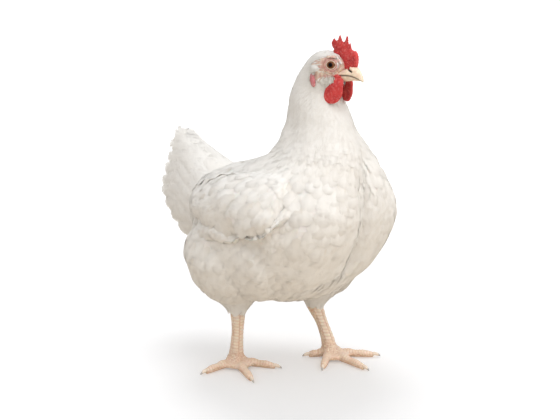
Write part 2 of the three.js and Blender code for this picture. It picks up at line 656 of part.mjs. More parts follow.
function legSolids(side) {
  const [left, forward] = LEGS[side].foot;
  const pad = new THREE.SphereGeometry(1, 10, 6).scale(FOOT_PAD.wide, FOOT_PAD.wide, FOOT_PAD.high);
  pad.translate(left, -forward, FOOT_PAD.high - 0.6);
  const toes = TOES.map((toe) => solid(tube(toeStations(side, toe).stations, 8, at(0, 0, 1))));
  const whole = joined([solid(shankGeometry(side)), solid(pad), ...toes]).trimByPlane([0, 0, 1], 0);
  const claws = Object.fromEntries(TOES.map((toe) => [toe, clawGeometry(side, toe)]));
  const foot = without(
    whole.trimByPlane([0, 0, -1], -(FOOT_CUT - GAP / 2)),
    ...TOES.map((toe) => solid(grown(claws[toe], GAP))),
  );
  return { shank: whole.trimByPlane([0, 0, 1], FOOT_CUT + GAP / 2), foot, claws };
}

// ---------------------------------------------------------------- wings
// A point on a folded wing's outer face, lift millimetres above it, at a place along and up her side.
function wingPlace(side) {
  return (forward, up, lift) => {
    const f = THREE.MathUtils.clamp(forward, WING.at(-1).forward, WING[0].forward);
    const top = fieldAt(WING, "forward", "top", f);
    const low = fieldAt(WING, "forward", "low", f);
    const across = THREE.MathUtils.clamp((2 * up - top - low) / (top - low), -1, 1);
    const dome = 0.55 + 0.45 * Math.sqrt(1 - across ** 4);
    const thick = fieldAt(WING, "forward", "thick", f) * dome;
    const { out, normal } = trunkSide(forward, up);
    const away = thick + lift;
    return at(side * (out + normal.x * away), forward - normal.y * away, up + normal.z * away);
  };
}

function wingPad(side) {
  const place = wingPlace(side);
  const stops = [110, 104, 94, 80, 62, 42, 20, -4, -28, -50, -68, -80];
  const steps = [-1, -0.8, -0.45, 0, 0.45, 0.8, 1];
  const rings = stops.map((forward) => {
    const top = fieldAt(WING, "forward", "top", forward);
    const low = fieldAt(WING, "forward", "low", forward);
    const upAt = (v) => (top + low) / 2 + (v * (top - low)) / 2;
    const outer = steps.map((v) => place(forward, upAt(v), 0));
    const inner = [0.9, 0.3, -0.3, -0.9].map((v) => {
      const { out, normal } = trunkSide(forward, upAt(v));
      const inwards = new THREE.Vector3(-side * normal.x, -normal.y, -normal.z);
      return at(side * out, forward, upAt(v)).addScaledVector(inwards, WING_SUNK);
    });
    return [...outer, ...inner];
  });
  const endAt = (forward) => {
    const up = (fieldAt(WING, "forward", "top", forward) + fieldAt(WING, "forward", "low", forward)) / 2;
    return place(forward, up, -2);
  };
  return ringSurface(endAt(WING[0].forward), rings, endAt(WING.at(-1).forward));
}

function wingSolid(side) {
  const pieces = [solid(wingPad(side))];
  WING_ROWS.forEach(({ count, tips, slopes, long, wide, lift }) => {
    const line = new THREE.SplineCurve(tips.map(([forward, up]) => new THREE.Vector2(forward, up)));
    for (let k = 0; k < count; k++) {
      const t = k / (count - 1);
      const tip = line.getPoint(t);
      const slope = mix(slopes[0], slopes[1], t) * DEG;
      const root = [tip.x + long * Math.cos(slope), tip.y + long * Math.sin(slope)];
      pieces.push(solid(vane(wingPlace(side), root, [tip.x, tip.y], wide, lift)));
    }
  });
  return joined(pieces);
}

// ---------------------------------------------------------------- tail
// A point of the tail's side: its turn from the ridge down, the share of the way from root to tip,
// and how far it lies over the side.
function tailPlace(side) {
  const flatPoint = (turn, share) => {
    const get = (field) => fieldAt(TAIL, "turn", field, THREE.MathUtils.clamp(turn, 0, 1));
    const part = (name) => mix(get("root" + name), get("tip" + name), share);
    return at(part("Out"), part("Forward"), part("Up"));
  };
  const step = 0.01;
  return (turn, share, lift) => {
    const inner = THREE.MathUtils.clamp(turn, step, 1 - step);
    const down = flatPoint(inner + step, share).sub(flatPoint(inner - step, share));
    const back = flatPoint(turn, share + step).sub(flatPoint(turn, share - step));
    const normal = down.clone().cross(back).normalize();
    const outwards = Math.sign(2 * normal.x + normal.z); // every side faces out, or up at the ridge
    const point = flatPoint(turn, share).addScaledVector(normal, lift * outwards);
    return point.setX(side * Math.max(0.4, point.x));
  };
}

// How many millimetres one turn is, at a turn and a share of the way out.
function turnLength(turn, share) {
  const step = 0.02;
  const place = tailPlace(1);
  const [a, b] = [Math.max(0, turn - step), Math.min(1, turn + step)];
  return place(a, share, 0).distanceTo(place(b, share, 0)) / (b - a);
}

function tailCore() {
  const turns = [0.05, 0.18, 0.32, 0.46, 0.6, 0.74, 0.88, 1];
  const layers = [
    { share: 0.02, narrow: 1 },
    { share: 0.2, narrow: 1 },
    { share: 0.4, narrow: 1 },
    { share: TAIL_CORE.end - 0.06, narrow: 0.95 },
    { share: TAIL_CORE.end, narrow: 0.6 },
  ];
  const rings = layers.map(({ share, narrow }) => {
    const half = (side) => turns.map((turn) => {
      const point = tailPlace(side)(turn, share, 0);
      return point.setX(point.x * narrow);
    });
    return [...half(-1), ...half(1).reverse()];
  });
  const end = tailPlace(1)(0.5, TAIL_CORE.end + 0.04, 0).setX(0);
  return ringSurface(at(...TAIL_CORE.deepest), rings, end);
}

function tailSolid() {
  const pieces = [solid(tailCore())];
  bothSides.forEach((side) => {
    TAIL_ROWS.forEach(({ count, from, to, start, end, wide, lift }) => {
      for (let k = 0; k < count; k++) {
        const turn = mix(from, to, k / (count - 1));
        const long = tailPlace(side)(turn, 0, 0).distanceTo(tailPlace(side)(turn, 1, 0));
        // A feather is laid out flat in millimetres: along it from its root, and down from its turn.
        const flatPlace = (along, down, height) => {
          const share = along / long;
          return tailPlace(side)(turn + down / turnLength(turn, share), share, height);
        };
        pieces.push(solid(vane(flatPlace, [long * start, 0], [long * end, 0], wide, lift)));
      }
    });
  });
  return joined(pieces);
}

// ---------------------------------------------------------------- the model
const hen = new THREE.Group();
hen.name = "hen";

const COLOURS = { white: 0xf2f0ea, red: 0xc8313a, skin: 0xe0b493, horn: 0xe9d6b4, eye: 0x6b3a1c };

function addNode(name, body, colour, roughness = 0.8) {
  const mesh = largest(body).getMesh();
  const geometry = new THREE.BufferGeometry();
  geometry.setAttribute("position", new THREE.BufferAttribute(mesh.vertProperties.slice(), 3));
  geometry.setIndex(new THREE.BufferAttribute(mesh.triVerts.slice(), 1));
  const node = new THREE.Mesh(geometry, new THREE.MeshStandardMaterial({ color: colour, roughness }));
  node.name = name;
  hen.add(node);
}

addNode("torso", torso, COLOURS.white);
addNode("neck", neck, COLOURS.white);
addNode("beak_upper", beakUpper, COLOURS.horn, 0.5);
addNode("beak_lower", beakLower, COLOURS.horn, 0.5);
addNode("comb", comb, COLOURS.red, 0.6);

const thighRooms = [];
for (const [side, sign] of Object.entries(SIDES)) {
  addNode("eye_" + side, solid(eyeBall(sign)), COLOURS.eye, 0.1);
  const wattleBody = without(solid(wattle(sign)), trunkRoom, upperRoom, lowerRoom);
  addNode("wattle_" + side, wattleBody, COLOURS.red, 0.6);
  addNode("earlobe_" + side, without(solid(earlobe(sign)), trunkRoom), COLOURS.red, 0.7);

  const thighShape = thighGeometry(side);
  thighRooms.push(solid(grown(thighShape)));
  const { shank, foot, claws } = legSolids(side);
  const shankRoom = solid(grown(shankGeometry(side)));
  addNode("thigh_" + side, without(solid(thighShape), trunkRoom, shankRoom), COLOURS.white);
  addNode("shank_" + side, shank, COLOURS.skin, 0.7);
  addNode("foot_" + side, foot, COLOURS.skin, 0.7);
  TOES.forEach((toe) => addNode(`claw_${toe}_${side}`, solid(claws[toe]), COLOURS.horn, 0.4));
}
addNode("head", head, COLOURS.white);
for (const [side, sign] of Object.entries(SIDES)) {
  addNode("wing_" + side, without(wingSolid(sign), trunkRoom, ...thighRooms), COLOURS.white);
}
addNode("tail", without(tailSolid(), trunkRoom, ...thighRooms), COLOURS.white);

// The origin is on the floor under the middle of her box.
const box = new THREE.Box3().setFromObject(hen);
const middle = box.getCenter(new THREE.Vector3());
hen.position.set(-middle.x, -middle.y, -box.min.z);

export default hen;
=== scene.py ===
"""A white hen standing on both feet: her looks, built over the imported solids.

Places in the tables are millimetres in the hen's own stance: left, forward and up from the floor
under her middle. Meshes are in metres in the frame's own coordinates.
"""
import heapq
import math

import bmesh
import bpy
import numpy as np
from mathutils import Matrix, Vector, noise
from mathutils.bvhtree import BVHTree
from mathutils.kdtree import KDTree


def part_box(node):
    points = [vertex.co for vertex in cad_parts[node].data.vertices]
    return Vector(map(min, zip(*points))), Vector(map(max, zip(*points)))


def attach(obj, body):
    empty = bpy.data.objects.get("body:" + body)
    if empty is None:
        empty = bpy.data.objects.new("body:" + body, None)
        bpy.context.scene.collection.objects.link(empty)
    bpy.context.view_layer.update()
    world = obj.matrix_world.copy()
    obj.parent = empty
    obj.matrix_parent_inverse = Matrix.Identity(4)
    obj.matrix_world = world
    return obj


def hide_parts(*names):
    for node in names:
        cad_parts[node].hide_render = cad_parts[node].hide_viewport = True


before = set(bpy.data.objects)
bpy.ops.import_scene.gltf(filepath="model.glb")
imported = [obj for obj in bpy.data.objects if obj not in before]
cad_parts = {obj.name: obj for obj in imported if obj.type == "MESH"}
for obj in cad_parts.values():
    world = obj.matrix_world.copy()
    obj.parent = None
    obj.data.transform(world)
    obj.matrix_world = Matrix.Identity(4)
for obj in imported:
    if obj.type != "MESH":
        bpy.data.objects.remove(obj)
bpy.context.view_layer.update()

MM = 0.001
FAR = 99.0  # millimetres that are as good as endless on the hen
SIDES = {"right": -1, "left": 1}
TORSO_FRONT = 151.118  # how far the breast stands before the middle of the stance
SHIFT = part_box("torso")[0].y / MM + TORSO_FRONT
SPARSE = 1.0
dice = np.random.default_rng(41)


def place(points):
    """Left, forward, up in millimetres to the frame's metres."""
    p = np.asarray(points, float)
    return np.stack([p[..., 0], SHIFT - p[..., 1], p[..., 2]], -1) * MM


def stance(points):
    """The frame's metres back to left, forward, up in millimetres."""
    p = np.asarray(points, float) / MM
    return np.stack([p[..., 0], SHIFT - p[..., 1], p[..., 2]], -1)


def heading(vector):
    """A direction given as left, forward, up in the frame's axes, of length one."""
    v = np.asarray(vector, float)
    return unit(np.stack([v[..., 0], -v[..., 1], v[..., 2]], -1))


# ---------------------------------------------------------------- camera
CAMERA = {"azimuth": -45, "elevation": 14, "distance": 1.55, "target": (0, 0, 207), "lens": 76.65}


def make_camera():
    """The photo's camera: from the hen's front right, a little above her."""
    data = bpy.data.cameras.new("camera")
    data.lens = CAMERA["lens"]
    data.sensor_width = 36
    data.clip_start = 0.05
    data.clip_end = 30
    camera = bpy.data.objects.new("camera", data)
    bpy.context.scene.collection.objects.link(camera)
    azimuth = math.radians(CAMERA["azimuth"])
    elevation = math.radians(CAMERA["elevation"])
    back = Vector((
        math.sin(azimuth) * math.cos(elevation),
        -math.cos(azimuth) * math.cos(elevation),
        math.sin(elevation),
    ))
    camera.location = Vector(place(CAMERA["target"])) + back * CAMERA["distance"]
    camera.rotation_euler = (-back).to_track_quat("-Z", "Y").to_euler()
    bpy.context.scene.camera = camera


# ---------------------------------------------------------------- numbers and meshes
def unit(v):
    return v / np.maximum(np.linalg.norm(v, axis=-1, keepdims=True), 1e-12)


def smooth(x, start, end):
    t = np.clip((np.asarray(x, float) - start) / (end - start), 0, 1)
    return t * t * (3 - 2 * t)


def mix(a, b, t):
    return a + (b - a) * t


def bell(x, width):
    """1 at 0, and nothing a few widths away on either side."""
    return np.exp(-((x / width) ** 2))


def knob(s, spot, size):
    """A mound on the hen's side: 1 at the spot (forward, up), with its widths that way."""
    return np.exp(-(((s[:, 1:] - spot) / size) ** 2).sum(1))


def one_sided(s):
    """Stance points mirrored onto the left side."""
    return np.concatenate([np.abs(s[:, :1]), s[:, 1:]], 1)


def curve(xs, ys, x):
    """A smooth curve through the points that doesn't overshoot them, read at x."""
    xs = np.asarray(xs, float)
    ys = np.asarray(ys, float)
    gaps = np.diff(xs)
    slopes = np.diff(ys) / gaps
    tangents = np.concatenate([slopes[:1], np.zeros(len(xs) - 2), slopes[-1:]])
    both = slopes[:-1] * slopes[1:]
    rising = both > 0
    tangents[1:-1][rising] = 2 * both[rising] / (slopes[:-1] + slopes[1:])[rising]
    k = np.clip(np.searchsorted(xs, x) - 1, 0, len(gaps) - 1)
    t = np.clip((x - xs[k]) / gaps[k], 0, 1)
    return (
        ys[k] * (2 * t**3 - 3 * t**2 + 1)
        + gaps[k] * tangents[k] * (t**3 - 2 * t**2 + t)
        + ys[k + 1] * (3 * t**2 - 2 * t**3)
        + gaps[k] * tangents[k + 1] * (t**3 - t**2)
    )


def ripples(points, size, seed, waves=9):
    """Smooth noise between about -1 and 1 whose bumps are about size across."""
    draw = np.random.default_rng(seed)
    ways = unit(draw.normal(size=(waves, 3))) * draw.uniform(0.7, 1.5, (waves, 1))
    phases = draw.uniform(0, 2 * math.pi, waves)
    return np.sin(points @ ways.T * (math.pi / size) + phases).sum(1) / math.sqrt(waves * 1.6)


def cells(points, size):
    """0 in the grooves between rounded cells about size across, and 1 on them."""
    rows = []
    for p in points / size:
        near = noise.voronoi(p)[0]
        rows.append(near[1] - near[0])
    return smooth(np.array(rows), 0.0, 0.42)


def make_object(name, points, faces, attributes=None, normals=None, uv=None):
    """A mesh object from arrays. Faces all have the same number of corners."""
    faces = np.asarray(faces, np.int32)
    mesh = bpy.data.meshes.new(name)
    mesh.vertices.add(len(points))
    mesh.vertices.foreach_set("co", np.asarray(points, np.float32).ravel())
    mesh.loops.add(faces.size)
    mesh.loops.foreach_set("vertex_index", faces.ravel())
    mesh.polygons.add(len(faces))
    starts = np.arange(0, faces.size, faces.shape[1], dtype=np.int32)
    mesh.polygons.foreach_set("loop_start", starts)
    mesh.update(calc_edges=True)
    mesh.shade_smooth()
    for key, values in (attributes or {}).items():
        set_attribute(mesh, key, values)
    if normals is not None:
        layer = mesh.attributes.new("custom_normal", "FLOAT_VECTOR", "POINT")
        layer.data.foreach_set("vector", normals.astype(np.float32).ravel())
    if uv is not None:
        layer = mesh.uv_layers.new(name="OFBake")
        layer.uv.foreach_set("vector", uv[faces.ravel()].astype(np.float32).ravel())
    made = bpy.data.objects.new(name, mesh)
    bpy.context.scene.collection.objects.link(made)
    return made


def set_attribute(mesh, key, values):
    layer = mesh.attributes.get(key) or mesh.attributes.new(key, "FLOAT", "POINT")
    layer.data.foreach_set("value", np.asarray(values, np.float32))


def grid_faces(rows, columns, wrap=False):
    """Quads of a grid of points that is stored row by row."""
    across = columns if wrap else columns - 1
    i, j = np.meshgrid(np.arange(rows - 1), np.arange(across), indexing="ij")
    k = (j + 1) % columns
    quads = np.stack([i * columns + j, i * columns + k, (i + 1) * columns + k, (i + 1) * columns + j], -1)
    return quads.reshape(-1, 4)


def read_values(items, key, size, kind=np.float32):
    """One value of every item in a mesh's list, in rows of its size."""
    values = np.zeros(len(items) * size, kind)
    items.foreach_get(key, values)
    return values.reshape(-1, size)


def mesh_points(mesh):
    return read_values(mesh.vertices, "co", 3).astype(float)


def mesh_normals(mesh):
    return read_values(mesh.vertex_normals, "vector", 3).astype(float)


def set_points(mesh, points):
    mesh.vertices.foreach_set("co", np.asarray(points, np.float32).ravel())
    mesh.update()


def mesh_edges(mesh):
    return read_values(mesh.edges, "vertices", 2, np.int32)


def relax(points, edges, rounds, share=0.5, weight=None):
    """Moves each point a share of the way to the middle of its neighbours, some rounds over."""
    ends = np.concatenate([edges, edges[:, ::-1]])
    count = np.maximum(np.bincount(ends[:, 0], minlength=len(points)), 1)[:, None]
    pull = share if weight is None else share * weight[:, None]
    for _ in range(rounds):
        total = np.stack([
            np.bincount(ends[:, 0], points[ends[:, 1], k], len(points))
            for k in range(points.shape[1])
        ], -1)
        points = points + (total / count - points) * pull
    return points


def change_mesh(mesh, change):
    """Changes a mesh by way of a bmesh."""
    net = bmesh.new()
    net.from_mesh(mesh)
    change(net)
    net.to_mesh(mesh)
    net.free()


def pour(piece, target):
    """Moves one bmesh's faces into another."""
    copy = bpy.data.meshes.new("copy")
    piece.to_mesh(copy)
    piece.free()
    target.from_mesh(copy)
    bpy.data.meshes.remove(copy)


def add_welded(target, mesh, grow):
    """Adds a welded copy of a mesh to the bmesh target, grown outwards."""
    piece = bmesh.new()
    piece.from_mesh(mesh)
    bmesh.ops.remove_doubles(piece, verts=piece.verts, dist=1e-6)
    piece.normal_update()
    for vertex in piece.verts:
        vertex.co += vertex.normal * grow
    pour(piece, target)


def add_hull(target, points):
    """Adds the convex hull of some points to the bmesh target."""
    piece = bmesh.new()
    for point in points:
        piece.verts.new(point)
    hull = bmesh.ops.convex_hull(piece, input=piece.verts)
    spare = hull["geom_interior"] + hull["geom_unused"]
    loose = {part for part in spare if isinstance(part, bmesh.types.BMVert)}
    bmesh.ops.delete(piece, geom=list(loose), context="VERTS")
    pour(piece, target)


def add_rings(target, rings):
    """Adds a closed surface over rings of points, with its ends drawn to their middles."""
    ends = [np.repeat(ring.mean(0, keepdims=True), len(ring), 0) for ring in (rings[0], rings[-1])]
    rings = [ends[0], *rings, ends[1]]
    made = make_object("rings", np.concatenate(rings), grid_faces(len(rings), len(rings[0]), wrap=True))
    mesh = made.data
    target.from_mesh(mesh)
    bpy.data.objects.remove(made)
    bpy.data.meshes.remove(mesh)


def with_modifier(obj, kind, **settings):
    """The object's mesh with one modifier applied, as a new mesh."""
    modifier = obj.modifiers.new("shape", kind)
    for key, value in settings.items():
        setattr(modifier, key, value)
    depsgraph = bpy.context.evaluated_depsgraph_get()
    made = bpy.data.meshes.new_from_object(obj.evaluated_get(depsgraph))
    obj.modifiers.remove(modifier)
    return made


def remeshed(name, build, voxel):
    """A new object: whatever build puts into a bmesh, remade as one skin of even faces."""
    joined = bmesh.new()
    build(joined)
    mesh = bpy.data.meshes.new(name)
    joined.to_mesh(mesh)
    joined.free()
    made = bpy.data.objects.new(name, mesh)
    bpy.context.scene.collection.objects.link(made)
    made.data = with_modifier(made, "REMESH", mode="VOXEL", voxel_size=voxel, use_smooth_shade=True)
    made.data.name = name
    bpy.data.meshes.remove(mesh)
    return made


def raise_skin(made, points, shape):
    """Moves a piece's points and raises them by shape(stance points, normals), which also says how
    low each place lies between its pimples or scales."""
    set_points(made.data, points)
    normals = mesh_normals(made.data)
    rise, low = shape(stance(points), normals)
    set_points(made.data, points + normals * rise[:, None] * MM)
    set_attribute(made.data, "low", low)


def finish_piece(made, paint, slot, *nodes):
    """Gives a visible piece its material and its body, and hides the CAD nodes that it stands for. The
    slot is not used.
    """
    made.data.materials.clear()
    made.data.materials.append(paint)
    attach(made, "root")
    if nodes:
        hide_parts(*nodes)


def node_tree(name):
    """A search tree over one CAD node's surface."""
    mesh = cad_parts[name].data
    return BVHTree.FromPolygons(
        [v.co for v in mesh.vertices], [tuple(p.vertices) for p in mesh.polygons]
    )


def distances(tree, points, limit):
    """How far each point is from a tree's surface, up to a limit."""
    found = (tree.find_nearest(p, limit)[3] for p in points)
    return np.array([limit if d is None else d for d in found])


# ---------------------------------------------------------------- materials
class Paint:
    """A material made of nodes, with short ways to write the usual ones."""

    def __init__(self, name, **sockets):
        self.material = bpy.data.materials.new(name)
        self.material.use_nodes = True
        self.nodes = self.material.node_tree.nodes
        self.shader = self.nodes["Principled BSDF"]
        for key, value in sockets.items():
            self.shader.inputs[key.replace("_", " ")].default_value = value
        self.where = self.nodes.new("ShaderNodeTexCoord").outputs["Object"]

    def link(self, source, target):
        """Feeds a number, a colour or another node's output into an input."""
        if isinstance(source, (int, float)):
            target.default_value = source
        elif isinstance(source, tuple):
            target.default_value = (*source, 1.0)
        else:
            self.material.node_tree.links.new(source, target)

    def set(self, key, source):
        self.link(source, self.shader.inputs[key])

    def colour(self, source):
        self.set("Base Color", source)

    def node(self, kind, inputs, **settings):
        """A new node, its inputs given by name or number."""
        made = self.nodes.new(kind)
        for key, value in settings.items():
            setattr(made, key, value)
        for key, source in inputs.items():
            self.link(source, made.inputs[key])
        return made

    def attribute(self, key):
        return self.node("ShaderNodeAttribute", {}, attribute_name=key).outputs["Fac"]

    def height(self):
        """Metres over the floor."""
        return self.node("ShaderNodeSeparateXYZ", {0: self.where}).outputs["Z"]

    def noise(self, scale, detail=3.0, stretch=None):
        """Smooth noise, stretched along the axes if asked."""
        where = self.where
        if stretch is not None:
            mapping = self.node("ShaderNodeMapping", {"Vector": where})
            mapping.inputs["Scale"].default_value = stretch
            where = mapping.outputs["Vector"]
        inputs = {"Scale": scale, "Detail": detail, "Roughness": 0.55, "Vector": where}
        return self.node("ShaderNodeTexNoise", inputs).outputs["Fac"]

    def cells(self, scale):
        """The distance from the middles of scattered cells."""
        inputs = {"Scale": scale, "Vector": self.where}
        return self.node("ShaderNodeTexVoronoi", inputs).outputs["Distance"]

    def spread(self, source, start, end, low=0.0, high=1.0):
        """Low up to the start, high from the end, and a smooth step between them."""
        inputs = {"Value": source, "From Min": start, "From Max": end, "To Min": low, "To Max": high}
        return self.node("ShaderNodeMapRange", inputs, interpolation_type="SMOOTHSTEP").outputs["Result"]

    def patches(self, scale, start, end, low=0.0, high=1.0):
        return self.spread(self.noise(scale), start, end, low, high)

    def times(self, a, b):
        return self.node("ShaderNodeMath", {0: a, 1: b}, operation="MULTIPLY").outputs[0]

    def blend(self, a, b, share):
        """A colour between two; inputs 6 and 7 and output 2 are those for colours."""
        inputs = {"Factor": share, 6: a, 7: b}
        return self.node("ShaderNodeMix", inputs, data_type="RGBA").outputs[2]

    def rough(self, scale, low, high):
        """Roughness between two values, in small patches."""
        self.set("Roughness", self.patches(scale, 0.3, 0.7, low, high))

    def bump(self, *layers):
        """Stacks layers of (height, depth in metres, strength)."""
        normal = None
        for height, depth, strength in layers:
            inputs = {"Strength": strength, "Distance": depth, "Height": height}
            if normal is not None:
                inputs["Normal"] = normal
            normal = self.node("ShaderNodeBump", inputs).outputs["Normal"]
        self.set("Normal", normal)


WHITE = (0.81, 0.785, 0.745)
# The vanes' painted shade toward their roots, where they lie under the feathers before them.
ROOT_SHADE = (0.74, 0.69, 0.62)
SHADY = (0.77, 0.74, 0.695)
BRIGHT = (0.86, 0.845, 0.815)
PINK = (0.56, 0.31, 0.27)
FLESH = (0.68, 0.53, 0.42)
RED = (0.66, 0.055, 0.052)
DEEP_RED = (0.44, 0.02, 0.026)


def plumage_paint():
    """White vanes: brighter at their tips, and warmer and darker toward their roots with painted shade
    where they lie under the feathers before them; each in a slightly different tone.
    """
    p = Paint("plumage", Roughness=0.72, Specular_IOR_Level=0.18, Sheen_Weight=0.25, Sheen_Roughness=0.6)
    # Painted shade: a warmer, darker white toward each vane's root, where it lies under the feathers
    # before it.
    white = p.blend(ROOT_SHADE, WHITE, p.spread(p.attribute("along"), 0.05, 0.6))
    white = p.blend(white, SHADY, p.times(p.patches(14.0, 0.35, 0.7), 0.5))
    p.colour(p.blend(white, BRIGHT, p.times(p.attribute("tone"), 0.6)))
    p.rough(900.0, 0.62, 0.8)
    p.bump((p.noise(1400.0, 2.0), 0.0004, 0.25))
    return p.material


def skin_paint():
    """Downy white skin under the coat, pink and finely wrinkled where the face is bare."""
    p = Paint(
        "skin", Roughness=0.55, Specular_IOR_Level=0.35, Subsurface_Weight=0.12, Subsurface_Scale=0.003
    )
    face = p.blend(FLESH, PINK, p.patches(160.0, 0.38, 0.66))
    face = p.blend(face, (0.76, 0.64, 0.54), p.patches(420.0, 0.5, 0.7, 0.0, 0.6))
    face = p.blend(face, (0.60, 0.10, 0.09), p.attribute("flush"))
    p.colour(p.blend(WHITE, face, p.attribute("bare")))
    p.rough(700.0, 0.45, 0.7)
    p.bump((p.cells(1300.0), 0.0006, 0.35), (p.noise(500.0), 0.0008, 0.3))
    return p.material


def red_paint(name, base=RED, deep=DEEP_RED, pale=(0.76, 0.20, 0.18)):
    """Comb and wattles: red skin covered in fine pimples, with a dull gloss, paler speckles that are
    partly the skin's own tone and partly painted highlights, and painted shade, a deeper red, in the
    hollows between the pimples.
    """
    p = Paint(name, Roughness=0.5, Specular_IOR_Level=0.4, Subsurface_Weight=0.15, Subsurface_Scale=0.004)
    colour = p.blend(base, deep, p.patches(130.0, 0.42, 0.7, 0.0, 0.75))
    # Paler speckles: partly the skin's own paler patches, partly painted highlights.
    colour = p.blend(colour, pale, p.patches(380.0, 0.47, 0.68, 0.0, 0.7))
    # Painted shade: a deeper red where the skin lies low between its pimples.
    p.colour(p.blend(colour, deep, p.times(p.attribute("low"), 0.6)))
    p.rough(600.0, 0.4, 0.62)
    p.bump((p.cells(1500.0), 0.0005, 0.4))
    return p.material


def horn_paint():
    """The bill: pale horn, flesh coloured at its root, with growth lines along it."""
    p = Paint(
        "horn", Roughness=0.38, Specular_IOR_Level=0.45, Subsurface_Weight=0.1, Subsurface_Scale=0.002
    )
    colour = p.blend((0.80, 0.62, 0.46), (0.88, 0.75, 0.60), p.patches(240.0, 0.35, 0.7))
    colour = p.blend(colour, (0.74, 0.52, 0.41), p.attribute("root"))
    # Painted shade: near black along the seam between the bill's halves and in the nostrils' slits.
    p.colour(p.blend(colour, (0.012, 0.007, 0.006), p.attribute("dark")))
    p.rough(700.0, 0.3, 0.5)
    p.bump((p.noise(900.0, 2.0, stretch=(1.0, 0.25, 1.4)), 0.0003, 0.3))
    return p.material


def leg_paint():
    """Shanks and toes: peach scales with a waxy gloss, and grooves between them painted pinker and
    darker: partly the skin's own colour there, partly painted shade.
    """
    p = Paint(
        "leg_skin", Roughness=0.42, Specular_IOR_Level=0.5, Subsurface_Weight=0.1, Subsurface_Scale=0.003
    )
    low = p.attribute("low")
    patch = p.patches(90.0, 0.35, 0.65)
    toes = p.blend((0.88, 0.70, 0.54), (0.92, 0.78, 0.64), patch)
    shank = p.blend((0.96, 0.84, 0.68), (0.98, 0.90, 0.77), patch)
    colour = p.blend(toes, shank, p.spread(p.height(), 0.012, 0.032))
    colour = p.blend(colour, (0.76, 0.50, 0.36), p.patches(260.0, 0.5, 0.75, 0.0, 0.3))
    # The grooves between the scales: partly the skin's own pinker colour, partly painted shade.
    p.colour(p.blend(colour, (0.56, 0.31, 0.20), p.times(low, 0.95)))
    p.set("Roughness", p.spread(low, 0.1, 0.8, 0.22, 0.5))
    p.bump((p.noise(1500.0, 2.0), 0.0003, 0.25))
    return p.material


def claw_paint():
    """Claws: pale horn that turns grey at the tip."""
    p = Paint("claw_horn", Roughness=0.35, Specular_IOR_Level=0.5)
    colour = p.blend((0.80, 0.66, 0.53), (0.86, 0.76, 0.66), p.patches(400.0, 0.35, 0.7))
    p.colour(p.blend(colour, (0.42, 0.40, 0.38), p.spread(p.attribute("tip"), 0.55, 1.0)))
    p.rough(900.0, 0.28, 0.45)
    p.bump((p.noise(1200.0, 2.0), 0.0002, 0.25))
    return p.material


def eye_paint():
    """Dark pupil, an orange-brown iris with fine rays, and a dark rim, under a wet gloss."""
    p = Paint("eye", Roughness=0.12, Specular_IOR_Level=0.08, Coat_Weight=0.04, Coat_Roughness=0.02)
    ring = p.attribute("ring")  # millimetres from the eye's axis
    iris = p.blend((0.06, 0.018, 0.008), (0.20, 0.07, 0.025), p.attribute("rays"))
    iris = p.blend(iris, (0.32, 0.16, 0.07), p.spread(ring, 3.7, 4.4, 0.0, 0.8))
    iris = p.blend(iris, (0.03, 0.010, 0.008), p.spread(ring, 4.5, 4.9))
    p.colour(p.blend((0.002, 0.001, 0.001), iris, p.spread(ring, 2.3, 2.9)))
    return p.material


def lid_paint():
    """The lids' rings, from the dark edge at the eye through a pale rim to the pink skin round it."""
    p = Paint("lid_skin", Roughness=0.5, Specular_IOR_Level=0.4)
    ring = p.attribute("ring")
    pink = p.blend((0.60, 0.31, 0.27), (0.70, 0.47, 0.40), p.patches(300.0, 0.35, 0.68))
    colour = p.blend((0.74, 0.60, 0.48), pink, p.spread(ring, 5.9, 6.5))
    inner = p.times(p.spread(ring, 5.8, 6.2), p.spread(ring, 6.4, 6.9, 1.0, 0.0))
    colour = p.blend(colour, (0.34, 0.09, 0.08), inner)
    outer = p.times(p.spread(ring, 7.7, 8.2), p.spread(ring, 8.4, 9.0, 0.8, 0.0))
    colour = p.blend(colour, (0.46, 0.19, 0.17), outer)
    p.colour(p.blend((0.10, 0.03, 0.03), colour, p.spread(ring, 4.75, 5.1)))
    p.rough(900.0, 0.38, 0.6)
    p.bump((p.cells(1700.0), 0.0004, 0.35))
    return p.material


# ---------------------------------------------------------------- the tail's fan
# The tail is a roof of two sides that meet on a ridge. From the ridge (turn 0) down to the vent
# (turn 1): where its feathers root and where the longest ones end, each as out, forward and up.
TAIL_TURNS = [0, 0.15, 0.3, 0.45, 0.62, 0.8, 1]
TAIL_ROOTS = [
    (1, -84, 240), (16, -84, 240), (30, -84, 236), (44, -85, 228),
    (54, -86, 212), (57, -88, 190), (50, -90, 160),
]
TAIL_TIPS = [
    (1, -170, 293), (7, -194, 291), (16, -199, 276), (24, -200, 250),
    (32, -204, 219), (40, -183, 184), (42, -142, 148),
]
PAST_VENT = np.array([-30.0, 0, -90.0])  # the way on past the vent, for one turn
# The tail's flesh: how far from root to tip, and how much narrower than its feathers.
TAIL_CORE = [(0.02, 1), (0.2, 1), (0.4, 1), (0.62, 1), (0.8, 1), (0.9, 0.95), (0.955, 0.8), (0.98, 0.45)]


def tail_side(turn, share):
    """The left side's places at a turn from the ridge and a share of the way to the tips. Past the
    ridge they run on over the right side, and past the vent straight on."""
    held = np.clip(np.abs(turn), 0, 1)
    ends = [
        np.stack([curve(TAIL_TURNS, np.array(line, float)[:, k], held) for k in range(3)], -1)
        for line in (TAIL_ROOTS, TAIL_TIPS)
    ]
    point = mix(*ends, np.asarray(share)[..., None])
    over = np.maximum(np.asarray(turn) - 1, 0)[..., None]
    point = point + over * PAST_VENT
    point[..., 0] *= np.where(np.asarray(turn) < 0, -1, 1)
    return point


